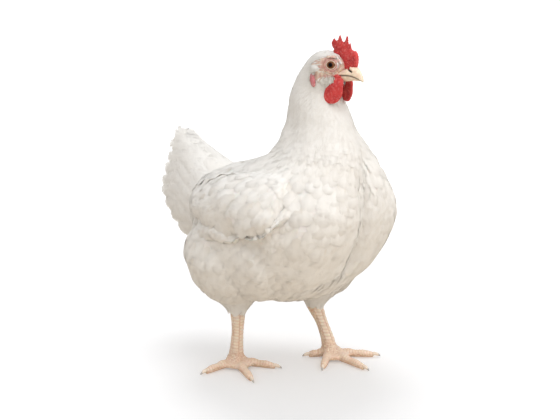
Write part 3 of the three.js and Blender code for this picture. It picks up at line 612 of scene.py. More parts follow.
def tail_place(sign, turn, share, lift=0.0):
    """A place over one side of the tail, in the frame, with the way that the side faces there."""
    turn, share, lift = np.broadcast_arrays(np.asarray(turn, float), share, lift)
    step = 0.01
    inner = np.clip(turn, step, 1 - step)
    down = tail_side(inner + step, share) - tail_side(inner - step, share)
    back = tail_side(inner, share + step) - tail_side(inner, share - step)
    facing = unit(np.cross(down, back))
    facing *= np.sign(2 * facing[..., :1] + facing[..., 2:])
    point = (tail_side(turn, share) + facing * lift[..., None]) * [sign, 1, 1]
    return place(point), heading(facing * [sign, 1, 1])


def turn_length(turn, share):
    """How many millimetres one turn of the tail is, at some places."""
    step = 0.02
    a, b = np.clip(turn - step, 0, 1), np.clip(turn + step, 0, 1)
    return np.linalg.norm(tail_side(b, share) - tail_side(a, share), axis=-1) / (b - a)


# ---------------------------------------------------------------- skin
FLESH_NODES = ["torso", "neck", "head", "thigh_right", "thigh_left"]
WINGS = ["wing_right", "wing_left"]
FEATHER_NODES = [*WINGS, "tail"]  # the CAD nodes that feathers alone replace
SKIN_VOXEL = 0.0018
EYE_PLACE = np.array([10.1, 98.3, 404.7])  # the ball's middle, for the left eye
EYE_FACING = np.array([0.9, 0.395, 0.186])
EYE_RADIUS = 6.75
FACE_MIDDLE = (99, 403)
FACE_RADIUS = 21

# How deep the skin lies under the coat's outline, by the CAD node that it is nearest to.
COAT_DEPTH = {
    "torso": 2.2, "neck": 1.4, "head": 0.8, "thigh_right": 2.3, "thigh_left": 2.3,
    "wing_right": 6.0, "wing_left": 6.0, "tail": 3.0,
}


# The body's creases and mounds: the groove down the breast that runs on under it (left, forward,
# up), and as forward and up on the hen's side, the wing's upper edge from the shoulder back, its
# lower edge from the tip forward and up, and each thigh's middle, half its size and its strength.
GROOVE = [
    (10, 128, 300), (8, 136, 285), (5, 141, 265), (2.5, 143, 243), (1.5, 143, 224), (1.5, 140, 203),
    (1, 131, 183), (0, 121, 163), (-3, 116, 151), (-18, 116, 146), (-36, 108, 139), (-48, 92, 128),
]
WING_TOP = [(88, 292), (50, 288), (12, 268), (-14, 252), (-38, 240), (-72, 232), (-100, 222)]
WING_LOW = [
    (-100, 222), (-86, 208), (-45, 203), (0, 203), (25, 201), (41, 200), (57, 202), (77, 206),
    (89, 214), (98, 224), (103, 237), (102, 255), (98, 275), (88, 292),
]
THIGH_MOUNDS = {"right": ((-5, 150), (75, 58), 1.0), "left": ((45, 142), (70, 54), 0.4)}
GROOVE_DEPTH = 2.6
THIGH_HEIGHT = 4.5  # of a mound's step at its edge, and again of its middle over that
THIGH_CREASE = 3.6  # how deep the fold round a mound is
PILLOW_HEIGHT = 5.0  # how far a folded wing stands out from the body
PILLOW_EDGE = 13  # over how many millimetres it rises from its lower edge
WING_CREASE = 1.2


def line_distance(points, line):
    """How far points are from a line through several corners."""
    return np.minimum.reduce([segment_distance(points, a, b)[0] for a, b in zip(line, line[1:])])


def inside_loop(points, loop):
    """Whether points of a plane lie inside a closed loop."""
    x, y = points[:, 0], points[:, 1]
    inside = np.zeros(len(points), bool)
    for (ax, ay), (bx, by) in zip(loop, loop[1:] + loop[:1]):
        if ay != by:
            crosses = (ay > y) != (by > y)
            inside ^= crosses & (x < ax + (bx - ax) * (y - ay) / (by - ay))
    return inside


def body_relief(s):
    """How far the body's mounds and creases raise the skin at stance points."""
    left, _, up = s.T
    rise = 1.4 * ripples(s, 30, 51) + 0.5 * ripples(s, 13, 52) * smooth(up, 180, 225)
    rise *= (1 - smooth(up, 330, 372)) * smooth(up, 84, 104)
    groove = line_distance(s, GROOVE)
    rise -= GROOVE_DEPTH * bell(groove, 3.0) + 0.8 * bell(groove, 9)
    flat = s[:, 1:]
    bare_wing = np.ones(len(s))
    for side, (middle, half, strength) in THIGH_MOUNDS.items():
        on = smooth(left * SIDES[side], 45, 70) * strength
        out = np.hypot(*((flat - middle) / half).T)
        mound = 1 - smooth(out, 0.84, 1.02) + np.maximum(1 - out**2, 0)
        rise += on * (THIGH_HEIGHT * mound - THIGH_CREASE * bell(out - 1.12, 0.15))
        bare_wing *= 1 - on * (1 - smooth(out, 0.94, 1.02))
    low, top = line_distance(flat, WING_LOW), line_distance(flat, WING_TOP)
    on_wing = inside_loop(flat, WING_TOP + WING_LOW[1:-1])
    pillow = PILLOW_HEIGHT * on_wing * np.sin(np.clip(low / PILLOW_EDGE, 0, 1) * math.pi / 2)
    wing = pillow * smooth(top, 0, 34) - WING_CREASE * bell(low, 3.0)
    return rise + wing * bare_wing * smooth(np.abs(left), 60, 85)


# The bare face: the middle of each patch (forward, up), half its size and its tilt in degrees.
BARE_PATCHES = {
    "eye": ((97, 404.5), (20, 13), 0),
    "lores": ((111, 399), (12, 8), -20),
    "behind": ((82, 406), (12, 5), 8),
    "cheek": ((97, 393), (22, 10), 6),
}


def bareness(s):
    """How bare the face is at points of the stance: 1 round the eye and before it, 0 on feathers."""
    _, forward, up = s.T
    bare = np.zeros(len(s))
    for middle, (long, high), tilt in BARE_PATCHES.values():
        cos, sin = math.cos(math.radians(tilt)), math.sin(math.radians(tilt))
        x = (forward - middle[0]) * cos + (up - middle[1]) * sin
        y = (up - middle[1]) * cos - (forward - middle[0]) * sin
        bare = np.maximum(bare, 1 - smooth(np.hypot(x / long, y / high), 0.78, 1.12))
    forehead = smooth(forward * 0.83 + up * 0.55, 315.5, 318) * smooth(up, 401, 405)
    return np.clip(bare * (1 - forehead), 0, 1)


def tail_core():
    """The tail's flesh as rings of points, from inside the body to its blunt back."""
    turns = np.array([0.03, 0.12, 0.22, 0.34, 0.46, 0.58, 0.7, 0.82, 0.92, 1.0])
    rings = []
    for share, narrow in TAIL_CORE:
        left = tail_place(1, turns, share, -0.5)[0] * [narrow, 1, 1]
        rings.append(np.concatenate([left * [-1, 1, 1], left[::-1]]))
    return rings


WING_CORE_END = -72  # how far back the smooth core under a folded wing's feathers reaches
# From there a hull fills the hollow between the wing and the tail: from the wing's points between
# two places forward and over a height, to places on the tail's side.
REAR_WING = (-96, -30)
REAR_LOW = 206
REAR_SHARES = np.array([0.45, 0.58, 0.7, 0.85])[:, None]
REAR_TURNS = [0.02, 0.12, 0.22]


def join_flesh(joined):
    """Puts the flesh nodes into a bmesh, with hulls under the wings' feathers that run back to the
    tail, and the tail's flesh."""
    for name in FLESH_NODES:
        add_welded(joined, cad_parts[name].data, 0.5 * MM)
    for side, sign in SIDES.items():
        points = mesh_points(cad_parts["wing_" + side].data)
        _, forward, up = stance(points).T
        add_hull(joined, points[forward > WING_CORE_END])
        rear = points[(forward > REAR_WING[0]) & (forward < REAR_WING[1]) & (up > REAR_LOW)]
        beside, _ = tail_place(sign, REAR_SHARES, REAR_TURNS, -1.5)
        add_hull(joined, np.concatenate([rear, beside.reshape(-1, 3)]))
    add_rings(joined, tail_core())


def build_skin():
    """One skin over the flesh nodes, with smooth cores under the wings' and the tail's feathers, and
    for each of its points the name of the nearest CAD node."""
    skin = remeshed("skin", join_flesh, SKIN_VOXEL)
    refine_face(skin.data)
    points = mesh_points(skin.data)
    edges = mesh_edges(skin.data)
    names = FLESH_NODES + FEATHER_NODES
    apart = np.stack([distances(node_tree(n), points, 0.03) for n in names])
    shares = 1 / (apart + 0.4 * MM) ** 2
    shares /= shares.sum(0)
    fluffy = relax(shares[len(FLESH_NODES):].sum(0)[:, None], edges, 6)[:, 0]
    points = relax(points, edges, 6, weight=1 - 0.75 * bareness(stance(points)))
    points = relax(points, edges, 12, weight=smooth(fluffy, 0.1, 0.6))
    s = stance(points)
    over_wing = 1 - smooth(line_distance(s[:, 1:], WING_TOP), 8, 22)
    points = relax(points, edges, 24, weight=over_wing * smooth(np.abs(s[:, 0]), 30, 50))
    set_points(skin.data, points)
    normals = mesh_normals(skin.data)
    bare = bareness(stance(points))
    depth = sum(COAT_DEPTH[n] * share for n, share in zip(names, shares)) * (1 - bare)
    depth = relax(depth[:, None], edges, 8)
    points = points - normals * (depth - body_relief(stance(points))[:, None]) * MM
    points, flush = face_folds(points, normals, bare)
    set_points(skin.data, points)
    set_attribute(skin.data, "bare", bare)
    set_attribute(skin.data, "flush", flush)
    finish_piece(skin, skin_paint(), "plumage", *FLESH_NODES)
    return skin, [names[k] for k in np.argmax(shares, 0)]


def refine_face(mesh):
    """Cuts the skin's faces on the face twice, for folds finer than the skin's even faces."""
    def cut(net):
        s = stance(np.array([v.co for v in net.verts]))
        inside = (bareness(s) > 0.02) | (np.hypot(*(s[:, 1:] - FACE_MIDDLE).T) < FACE_RADIUS)
        edges = [edge for edge in net.edges if all(inside[v.index] for v in edge.verts)]
        bmesh.ops.subdivide_edges(net, edges=edges, cuts=1, use_grid_fill=True, smooth=0.0)
        bmesh.ops.triangulate(net, faces=[face for face in net.faces if len(face.verts) > 4])

    for _ in range(2):
        change_mesh(mesh, cut)


def eye_ring(s):
    """Each stance point's distance from the nearer eye's axis, and the angle round it."""
    facing = EYE_FACING / np.linalg.norm(EYE_FACING)
    away = one_sided(s) - EYE_PLACE
    flat = away - (away @ facing)[:, None] * facing
    level = unit(np.array([-facing[1], facing[0], 0.0]))
    x, y = flat @ level, flat @ np.cross(facing, level)
    return np.hypot(x, y), np.arctan2(y, x)


def face_folds(points, normals, bare):
    """Sinks the skin under the eye and folds the bare face: rings round the lids, creases behind
    the eye, a ridge from the eye to the bill, the fleshy corner of the mouth and the ear's mound."""
    s = stance(points)
    out = np.abs(s[:, 0])
    radius, angle = eye_ring(s)
    rings = 0.4 * np.cos((radius - 9.4) * 2.4) * smooth(radius, 7, 9) * (1 - smooth(radius, 11, 15))
    creases = 0.22 * np.sin(angle * 13 + ripples(s, 6, 3) * 1.4) * smooth(radius, 9, 12)
    rise = rings + creases * (1 - smooth(radius, 13, 18))
    rise += 0.45 * ripples(s, 3.4, 5) * smooth(radius, 8, 11)
    rise += 0.9 * knob(s, (114, 401), (6, 2.4))
    corner = knob(s, (110, 391.5), (4.2, 2.6))
    rise += 1.3 * corner * (1 + 0.4 * ripples(s, 1.6, 8))
    rise *= bare
    rise += 3.0 * knob(s, (79, 399.5), (5.5, 4.5)) * (out > 6)
    hole = (1 - smooth(radius, 6.6, 8.4)) * (out > 4)
    rise = rise * (1 - hole) - 4.5 * hole
    flush = np.clip(corner * 0.7 + 0.22 * bell(radius - 9, 2.0), 0, 1)
    return points + normals * rise[:, None] * MM, flush * bare


# ---------------------------------------------------------------- the lie of the coat
LIGHT_FACES = 7000  # faces of the light copy of the skin that carries the lie
LIE_START = (0, 112, 404)  # where the lie starts: on the forehead over the bill


def reach_from(start, points, edges):
    """How far each of a mesh's points is from one of them, along the mesh's edges."""
    lengths = np.linalg.norm(points[edges[:, 0]] - points[edges[:, 1]], axis=1)
    ways = [[] for _ in points]
    for (a, b), length in zip(edges.tolist(), lengths.tolist()):
        ways[a].append((b, length))
        ways[b].append((a, length))
    far = [math.inf] * len(points)
    far[start] = 0.0
    queue = [(0.0, start)]
    while queue:
        reached, a = heapq.heappop(queue)
        if reached > far[a]:
            continue
        for b, length in ways[a]:
            if reached + length < far[b]:
                far[b] = reached + length
                heapq.heappush(queue, (far[b], b))
    return np.array(far)


def uphill(points, faces, values):
    """The way in which values at a mesh's points rise fastest, at each of them."""
    a, b, c = (points[faces[:, k]] for k in range(3))
    across = np.cross(b - a, c - a)
    area = np.maximum((across**2).sum(1, keepdims=True), 1e-18)
    opposite = (c - b, a - c, b - a)
    rise = sum(values[faces[:, k], None] * np.cross(across, opposite[k]) for k in range(3)) / area
    slope = np.zeros_like(points)
    for k in range(3):
        for axis in range(3):
            slope[:, axis] += np.bincount(faces[:, k], rise[:, axis], len(points))
    return unit(slope)


class Coat:
    """What the feathers need to know of the skin: its surface, the lie at each place and an unwrap."""

    def __init__(self, skin, labels):
        mesh = skin.data
        self.points = mesh_points(mesh)
        self.normals = mesh_normals(mesh)
        mesh.calc_loop_triangles()
        self.triangles = read_values(mesh.loop_triangles, "vertices", 3, np.int32)
        self.tree = BVHTree.FromPolygons(self.points.tolist(), self.triangles.tolist())
        self.labels = np.array(labels)
        self.unwrap(skin)
        self.comb_out()

    def unwrap(self, skin):
        """A light copy of the skin, unwrapped, which gives each root its place on the baked map."""
        light = with_modifier(skin, "DECIMATE", ratio=LIGHT_FACES / len(self.triangles))
        holder = bpy.data.objects.new("unwrap", light)
        bpy.context.scene.collection.objects.link(holder)
        change_mesh(light, lambda net: bmesh.ops.triangulate(net, faces=net.faces))
        bpy.ops.object.select_all(action="DESELECT")
        bpy.context.view_layer.objects.active = holder
        holder.select_set(True)
        light.uv_layers.new(name="unwrap")
        bpy.ops.object.mode_set(mode="EDIT")
        bpy.ops.mesh.select_all(action="SELECT")
        bpy.ops.uv.smart_project(angle_limit=math.radians(66), island_margin=0.004)
        bpy.ops.object.mode_set(mode="OBJECT")
        self.light_points = mesh_points(light)
        self.light_faces = read_values(light.loops, "vertex_index", 1, np.int32).reshape(-1, 3)
        self.light_uv = read_values(light.uv_layers[0].uv, "vector", 2).reshape(-1, 3, 2)
        self.light_edges = mesh_edges(light)
        self.light_normals = mesh_normals(light)
        self.light_tree = BVHTree.FromPolygons(self.light_points.tolist(), self.light_faces.tolist())
        bpy.data.objects.remove(holder)
        bpy.data.meshes.remove(light)

    def comb_out(self):
        """The lie: along the shortest way over the skin from the bill, smoothed, then turned on the
        wings."""
        points, edges = self.light_points, self.light_edges
        start = int(np.argmin(np.linalg.norm(points - place(LIE_START), axis=1)))
        far = relax(reach_from(start, points, edges)[:, None], edges, 3)[:, 0]
        lie = self.laid(uphill(points, self.light_faces, far))
        s = stance(points)
        apart = np.minimum(*(distances(node_tree(name), points, 0.02) for name in WINGS))
        wing = 1 - smooth(apart / MM, 5, 9)
        dip = np.radians(mix(64, 12, smooth(s[:, 1], 96, -50)))
        along_wing = heading(np.stack([np.zeros(len(points)), -np.cos(dip), -np.sin(dip)], -1))
        lie = self.laid(unit(mix(lie, along_wing, wing[:, None])))
        for _ in range(5):
            lie = self.laid(unit(relax(lie, edges, 2)))
        self.lie = lie

    def laid(self, ways):
        """Directions turned down into the skin's surface."""
        into = (ways * self.light_normals).sum(1, keepdims=True)
        return unit(ways - self.light_normals * into)

    def light_read(self, points):
        """The lie and the unwrap at some points."""
        lies = np.empty((len(points), 3))
        maps = np.empty((len(points), 2))
        for k, point in enumerate(points):
            where, _, face, _ = self.light_tree.find_nearest(point)
            corners = self.light_faces[face]
            shares = barycentric(np.array(where), *self.light_points[corners])
            lies[k] = shares @ self.lie[corners]
            maps[k] = shares @ self.light_uv[face]
        return unit(lies), maps

    def settle(self, points):
        """The nearest places on the skin, with its smoothed normals there."""
        where = np.empty_like(points)
        faces = np.empty(len(points), int)
        for k, point in enumerate(points.tolist()):
            where[k], _, faces[k], _ = self.tree.find_nearest(point)
        return where, unit(self.normals[self.triangles[faces]].mean(1))


def barycentric(p, a, b, c):
    """The shares of three corners that make up a point of their triangle."""
    v0, v1, v2 = b - a, c - a, p - a
    d00, d01, d11 = v0 @ v0, v0 @ v1, v1 @ v1
    d20, d21 = v2 @ v0, v2 @ v1
    scale = d00 * d11 - d01 * d01
    if abs(scale) < 1e-20:
        return np.array([1.0, 0.0, 0.0])
    v = (d11 * d20 - d01 * d21) / scale
    w = (d00 * d21 - d01 * d20) / scale
    return np.clip([1 - v - w, v, w], 0, 1)


# Feathers at sample places (|left|, forward, up): length, width, spacing, how high the tip
# stands, and how loose the barbs are (0 a tight vane, 1 down).
FEATHER_SAMPLES = [
    ((14, 100, 404), (3.0, 1.0, 1, 0.4, 0.9)),
    ((8, 112, 410), (6.0, 1.1, 0.88, 0.7, 0.7)),
    ((14, 96, 392), (4.0, 1.0, 0.88, 0.4, 0.6)),
    ((10, 98, 380), (5.0, 1.5, 1.12, 0.5, 0.6)),
    ((6, 78, 419), (7.0, 2.2, 1.2, 0.8, 0.6)),
    ((18, 62, 400), (9.0, 2.8, 1.36, 0.9, 0.6)),
    ((20, 84, 384), (8.0, 2.4, 1.28, 0.9, 0.7)),
    ((0, 38, 390), (13.0, 4.0, 1.76, 1.1, 0.5)),
    ((0, 100, 376), (11.0, 3.4, 1.6, 1.0, 0.6)),
    ((26, 65, 360), (18.0, 5.0, 2.08, 1.2, 0.5)),
    ((34, 70, 330), (24.0, 7.0, 2.56, 1.5, 0.4)),
    ((48, 75, 295), (28.0, 10.0, 3.8, 1.9, 0.35)),
    ((20, 138, 275), (26.0, 14.0, 4.4, 1.9, 0.3)),
    ((75, 110, 240), (26.0, 16.0, 4.6, 1.9, 0.3)),
    ((40, 140, 190), (26.0, 15.0, 4.6, 2.0, 0.4)),
    ((10, 95, 125), (26.0, 13.0, 4.8, 2.2, 0.7)),
    ((60, 60, 140), (26.0, 14.0, 4.8, 2.1, 0.6)),
    ((10, 0, 285), (26.0, 13.0, 4.4, 1.9, 0.3)),
    ((20, -70, 265), (30.0, 11.0, 4.2, 1.9, 0.35)),
    ((15, -112, 255), (32.0, 10.0, 4.2, 2.1, 0.45)),
    ((20, -60, 110), (28.0, 12.0, 4.8, 2.5, 0.8)),
    ((50, -120, 190), (30.0, 15.0, 4.8, 2.5, 0.7)),
    ((0, -150, 190), (34.0, 14.0, 4.6, 3.1, 0.9)),
    ((85, -20, 170), (24.0, 12.0, 4.4, 2.1, 0.6)),
    ((70, -15, 125), (18.0, 8.0, 2.72, 1.7, 0.7)),
    ((58, -15, 95), (13.0, 4.5, 1.84, 1.5, 0.9)),
    ((108, 80, 255), (17.0, 12.0, 4.2, 1.4, 0.25)),
    ((118, 60, 230), (22.0, 16.0, 5, 1.6, 0.25)),
    ((110, 0, 250), (26.0, 15.0, 5, 1.7, 0.25)),
    ((100, -50, 230), (28.0, 14.0, 5, 1.9, 0.3)),
    ((0, 146, 240), (18.0, 8.0, 2.56, 1.4, 0.35)),
    ((0, 140, 190), (18.0, 8.0, 2.56, 1.4, 0.4)),
]


def feather_sizes(s):
    """Length, width, spacing, tip height and looseness at stance points, blended from the samples."""
    spots = np.array([place for place, _ in FEATHER_SAMPLES], float)
    sizes = np.array([values for _, values in FEATHER_SAMPLES], float)
    away = np.linalg.norm(one_sided(s)[:, None] - spots[None], axis=2) + 4
    shares = away**-3.5
    shares /= shares.sum(1, keepdims=True)
    return shares @ sizes


def broad(s):
    """Where broad contour feathers grow: all over the body, but not by the groove or on the neck."""
    up = s[:, 2]
    by_groove = 1 - smooth(line_distance(s, GROOVE), 4, 6)
    return (1 - smooth(up, 300, 328)) * smooth(up, 100, 122) * (1 - by_groove)


def breadth(s):
    """How much broader than the fine feathers the contour feathers are: less toward the neck."""
    return mix(1.6, 0.95, smooth(s[:, 2], 265, 325))


def wing_edge_distance(s):
    """How far stance points are from the wings' lower edges, and much more at the hen's middle."""
    return line_distance(s[:, 1:], WING_LOW) + FAR * smooth(80 - np.abs(s[:, 0]), 0, 20)


def contour_spacing(s):
    """How far apart contour feathers root: closer at the wings' lower edges."""
    closer = mix(0.6, 1.0, smooth(wing_edge_distance(s), 4, 20))
    return feather_sizes(s)[:, 1] * breadth(s) * 0.42 * closer


TRIES = 2.2  # how many places are tried for each feather that the skin has room for


def scatter_roots(coat, apart, wanted):
    """Feather roots over the skin, no nearer each other than apart(s) at a stance point, and where
    the density wanted(s) is less than 1, that share of them."""
    corners = coat.points[coat.triangles]
    middles = stance(corners.mean(1))
    sides = corners[:, 1:] - corners[:, :1]
    area = np.linalg.norm(np.cross(sides[:, 0], sides[:, 1]), axis=1) / 2
    spacing = apart(middles) * SPARSE * MM
    weight = area / spacing**2 * wanted(middles)
    count = int(weight.sum() * TRIES)
    faces = dice.choice(len(weight), count, p=weight / weight.sum())
    a, b = dice.random(count), dice.random(count)
    flip = a + b > 1
    a[flip], b[flip] = 1 - a[flip], 1 - b[flip]
    points = corners[faces, 0] + sides[faces, 0] * a[:, None] + sides[faces, 1] * b[:, None]
    reach = spacing[faces]
    tree = KDTree(count)
    for k, point in enumerate(points.tolist()):
        tree.insert(point, k)
    tree.balance()
    kept = np.zeros(count, bool)
    for k, point in enumerate(points.tolist()):
        kept[k] = not any(kept[j] for _, j, _ in tree.find_range(point, reach[k]))
    return points[kept], coat.labels[coat.triangles[faces[kept], 0]]


def feathered(s):
    """How densely feathers grow: none under the comb, the bill and the eye, few on the bare face."""
    left, forward, up = s.T
    radius, _ = eye_ring(s)
    density = (1 - 0.985 * bareness(s)) * (radius > 9)
    under_bill = (forward > 106) & (up > 383) & (up < 409)
    under_comb = (np.abs(left) < 3) & (forward > 86) & (up > 398)
    return density * ~(under_bill | under_comb)


# ---------------------------------------------------------------- feathers
STATIONS = np.array([0, 1 / 3, 2 / 3, 1])  # how far along a feather its places lie
STIFFNESS = 0.18  # how far a feather that leaves the skin's curve keeps straight
ROOT_HEIGHT = 0.25  # how high over the skin a feather's root lies
FEATHER_ON_MAP = 0.003  # a feather's size on the baked map, round its root's place
LOOSE_STIFFNESS = 0.6  # the same for tufts, and for the feathers that run out over the tail


def lay_on_skin(coat, roots, ways, lengths, widths, stiff):
    """A feather's grid of points along and across, following the skin, and the way up at each
    station: (n, 4, 3, 3) and (n, 4, 3)."""
    count = len(roots)
    grid = np.empty((count, 4, 3, 3))
    rises = np.empty((count, 4, 3))
    spot, normal = coat.settle(roots)
    way = ways
    for k in range(4):
        if k:
            ahead = grid[:, k - 1, 1] + way * (lengths / 3)[:, None]
            found, normal = coat.settle(ahead)
            spot = kept_straight(ahead, found, normal, stiff)
        way = unit(way - normal * (way * normal).sum(1, keepdims=True))
        side = np.cross(normal, way)
        grid[:, k, 1] = spot
        rises[:, k] = normal
        for j, sign in ((0, -1), (2, 1)):
            edge = spot + side * (sign * widths / 2)[:, None]
            if k:
                found, there = coat.settle(edge)
                edge = kept_straight(edge, found, there, stiff)
            grid[:, k, j] = edge
    return grid, rises


def feather_grid(count, spot):
    """The same grid for feathers that don't follow the skin, from spot(station, out): their places
    there and the way up, with out -1 and 1 at the feathers' edges and 0 on their shafts."""
    grid = np.empty((count, 4, 3, 3))
    rises = np.empty((count, 4, 3))
    for k, station in enumerate(STATIONS):
        for j, out in enumerate((-1, 0, 1)):
            grid[:, k, j], up = spot(station, out)
            if out == 0:
                rises[:, k] = up
    return grid, rises


def kept_straight(wished, found, normal, stiff):
    """A place on the skin, or part of the way back to the straight line where that runs outside."""
    gap = wished - found
    outside = (gap * normal).sum(1, keepdims=True) > 0
    return found + gap * np.where(outside, stiff, 0.0)


def outline(share, blunt):
    """The edge of a vane: how far along and how far out, from its root (0) round to its tip (1)."""
    along = 0.10 + 0.90 * (1 - (1 - share) ** 1.35)
    out = (0.42 + 0.58 * smooth(share, 0, 0.5)) * (1 - share**blunt) ** 0.55
    return along, out


def barb_places(loose, pairs, blunt, ragged):
    """Where the points of some vanes lie, as shares along the feather and out to its sides: first
    the shaft's, then on either side the barbs' lower and upper ends."""
    count = len(loose)
    steps = np.arange(pairs + 1) / pairs
    middle = (steps[:-1] + steps[1:]) / 2
    half = 0.5 / pairs
    slit = (0.10 + 0.42 * loose)[:, None]
    jitter = dice.normal(0, 1, (count, 2, pairs)) * (ragged + 0.10 * loose)[:, None, None]
    low_share = np.clip(middle - half * (1 - slit), 0, 1)
    high_share = np.clip(middle + half * (1 - slit * 0.6), 0, 1)
    alongs = [np.broadcast_to(steps**1.06 * 0.93, (count, pairs + 1))]
    outs = [np.zeros((count, pairs + 1))]
    for side, sign in enumerate((-1, 1)):
        for share in (low_share, high_share):
            along, out = outline(share, blunt)
            alongs.append(np.clip(along + jitter[:, side] * 0.35, 0, 1.04))
            outs.append(sign * out * (1 + jitter[:, side]))
    return np.concatenate(alongs, 1), np.concatenate(outs, 1)


def vanes(grid, rises, heights, loose, pairs, cup, blunt=3.2, ragged=0.06, domed=0.0):
    """Joined feathers: barbs from the shaft to the edge on both sides, closed but for fine slits.
    Over the skin they rise to their heights at the tip; cup bends their edges down, blunt squares
    their tips, ragged makes their barbs uneven and domed bows them from side to side.

    Returns points, quads, normals, each point's share along, its feather's number and its place
    in the feather's own square."""
    count = len(grid)
    facing = np.cross(grid[:, 3, 1] - grid[:, 0, 1], grid[:, 2, 2] - grid[:, 2, 0])
    turned = (facing * rises[:, 2]).sum(1) < 0
    grid = np.where(turned[:, None, None, None], grid[:, :, ::-1], grid)
    t, u = barb_places(loose, pairs, blunt, ragged)
    shares = lagrange(t)
    lines = np.einsum("npk,nkjx->npjx", shares, grid)
    lift = np.einsum("npk,nkx->npx", shares, rises)
    centre = lines[:, :, 1]
    slope = (lines[:, :, 2] - lines[:, :, 0]) / 2
    bend = (lines[:, :, 2] + lines[:, :, 0]) / 2 - centre
    points = centre + slope * u[..., None] + bend * (u**2)[..., None]
    domed = np.broadcast_to(np.asarray(domed, float).reshape(-1, 1), (count, 1))
    up = unit(unit(lift) + domed[..., None] * dice.normal(0, 0.035, (count, 1, 3)))
    bowed = domed * smooth(t, 0.55, 1.05)
    wave = dice.normal(0, 0.07, t.shape) * (0.4 + loose)[:, None]
    height = ROOT_HEIGHT + (heights[:, None] - ROOT_HEIGHT) * t - cup * u**2 - bowed + wave
    points = points + up * (height * MM)[..., None]
    forward = unit(grid[:, 3, 1] - grid[:, 0, 1])[:, None]
    tilt = unit(slope) * (u * (0.16 + 0.2 * domed))[..., None]
    normals = unit(up + tilt + forward * (0.05 + 0.4 * bowed)[..., None])
    quads = barb_quads(pairs)
    flat = face_normals(points, quads)
    agree = smooth((flat * normals).sum(-1), 0.2, 0.75)
    normals = unit(mix(flat, normals, agree[..., None]))
    per = t.shape[1]
    faces = (quads[None] + (np.arange(count) * per)[:, None, None]).reshape(-1, 4)
    owner = np.repeat(np.arange(count), per)
    local = np.stack([u / 2 + 0.5, t], -1).reshape(-1, 2)
    return points.reshape(-1, 3), faces, normals.reshape(-1, 3), t.reshape(-1), owner, local


def face_normals(points, quads):
    """The mean way that the faces round each point of some feathers really face."""
    corners = points[:, quads]
    faces = unit(np.cross(corners[:, :, 2] - corners[:, :, 0], corners[:, :, 3] - corners[:, :, 1]))
    touches = np.zeros((points.shape[1], len(quads)))
    for k in range(4):
        touches[quads[:, k], np.arange(len(quads))] = 1
    return unit(touches @ faces)


def lagrange(t):
    """Weights of the four stations for a smooth curve through them."""
    parts = []
    for station in STATIONS:
        part = np.ones_like(t)
        for other in STATIONS[STATIONS != station]:
            part = part * (t - other) / (station - other)
        parts.append(part)
    return np.stack(parts, -1)


def barb_quads(pairs):
    """The quads of one feather's points: the shaft's, then both sides' lower and upper barb ends."""
    first = np.arange(pairs)
    quads = []
    for side in range(2):
        low = pairs + 1 + side * 2 * pairs + first
        high = low + pairs
        corners = (first, first + 1, high, low) if side else (first, low, high, first + 1)
        quads.append(np.stack(corners, -1))
    return np.concatenate(quads)


class Flock:
    """Feathers gathered for one coat piece, joined into one mesh at the end."""

    def __init__(self):
        self.parts = []

    def add(self, coat, grid, rises, heights, loose, pairs, **shape):
        """Adds feathers, their heights and looseness given for each or for all of them."""
        _, maps = coat.light_read(grid[:, 1, 1])
        heights, loose = (np.broadcast_to(np.asarray(size), len(grid)) for size in (heights, loose))
        points, faces, normals, along, owner, local = vanes(grid, rises, heights, loose, pairs, **shape)
        tone = dice.random(len(grid))[owner]
        uv = maps[owner] + (local - 0.5) * FEATHER_ON_MAP
        self.parts.append((points, faces, normals, along, tone, uv))

    def finish(self, name, paint):
        """Makes the coat piece over the CAD node or the part of the body of that name."""
        offsets = np.cumsum([0] + [len(part[0]) for part in self.parts[:-1]])
        faces = np.concatenate([part[1] + k for part, k in zip(self.parts, offsets)])
        points, _, normals, along, tone, uv = (
            np.concatenate([part[k] for part in self.parts]) for k in range(6)
        )
        made = make_object("coat_" + name, points, faces, {"along": along, "tone": tone}, normals, uv)
        nodes = [name] if name in FEATHER_NODES else []
        finish_piece(made, paint, "plumage", *nodes)


def piece_of(forward, up, owner):
    """The coat piece that a root belongs to."""
    if owner != "torso":
        return owner
    if up > 205 and forward < 62:
        return "back"
    return "breast" if forward > 55 else "belly"


def plan_feathers(coat, roots, contour):
    """The sizes, ways and stiffness of the fine or contour feathers on some roots."""
    s = stance(roots)
    left, forward, up = s.T
    sizes = feather_sizes(s)
    if contour:
        sizes[:, 0] = np.maximum(sizes[:, 0], sizes[:, 1] * breadth(s) * 1.3)
        sizes[:, 1] *= breadth(s)
        sizes[:, 3] *= mix(0.5, 0.85, smooth(up, 195, 235))
    to_edge = wing_edge_distance(s)
    sizes[:, :2] *= mix(0.5, 1.0, smooth(to_edge, 4, 20))[:, None]
    over_tail = smooth(-forward, 50, 78) * smooth(up, 165, 200)
    over_tail *= 1 - smooth(np.abs(left), 48, 66)
    sizes[:, 0] *= 1 + 0.5 * over_tail * (to_edge > 12)
    sizes[:, :2] *= dice.uniform(0.88, 1.12, (len(s), 1))
    sizes[:, 1] = np.minimum(sizes[:, 1], 2 * np.maximum(line_distance(s, GROOVE) - 1, 2))
    ways, _ = coat.light_read(roots)
    turn = dice.normal(0, 0.06, len(s)) * (1 + sizes[:, 4])
    _, normals = coat.settle(roots)
    ways = unit(ways * np.cos(turn)[:, None] + np.cross(normals, ways) * np.sin(turn)[:, None])
    stiff = mix(STIFFNESS * smooth(to_edge, 2, 22), LOOSE_STIFFNESS, over_tail)
    return sizes, ways, stiff[:, None]


# From which width, and up to which, feathers have how many pairs of barbs.
BARBS = ((0, 1.6, 5), (1.6, 4, 8), (4, 8, 12), (8, 14, 16), (14, 99, 24))


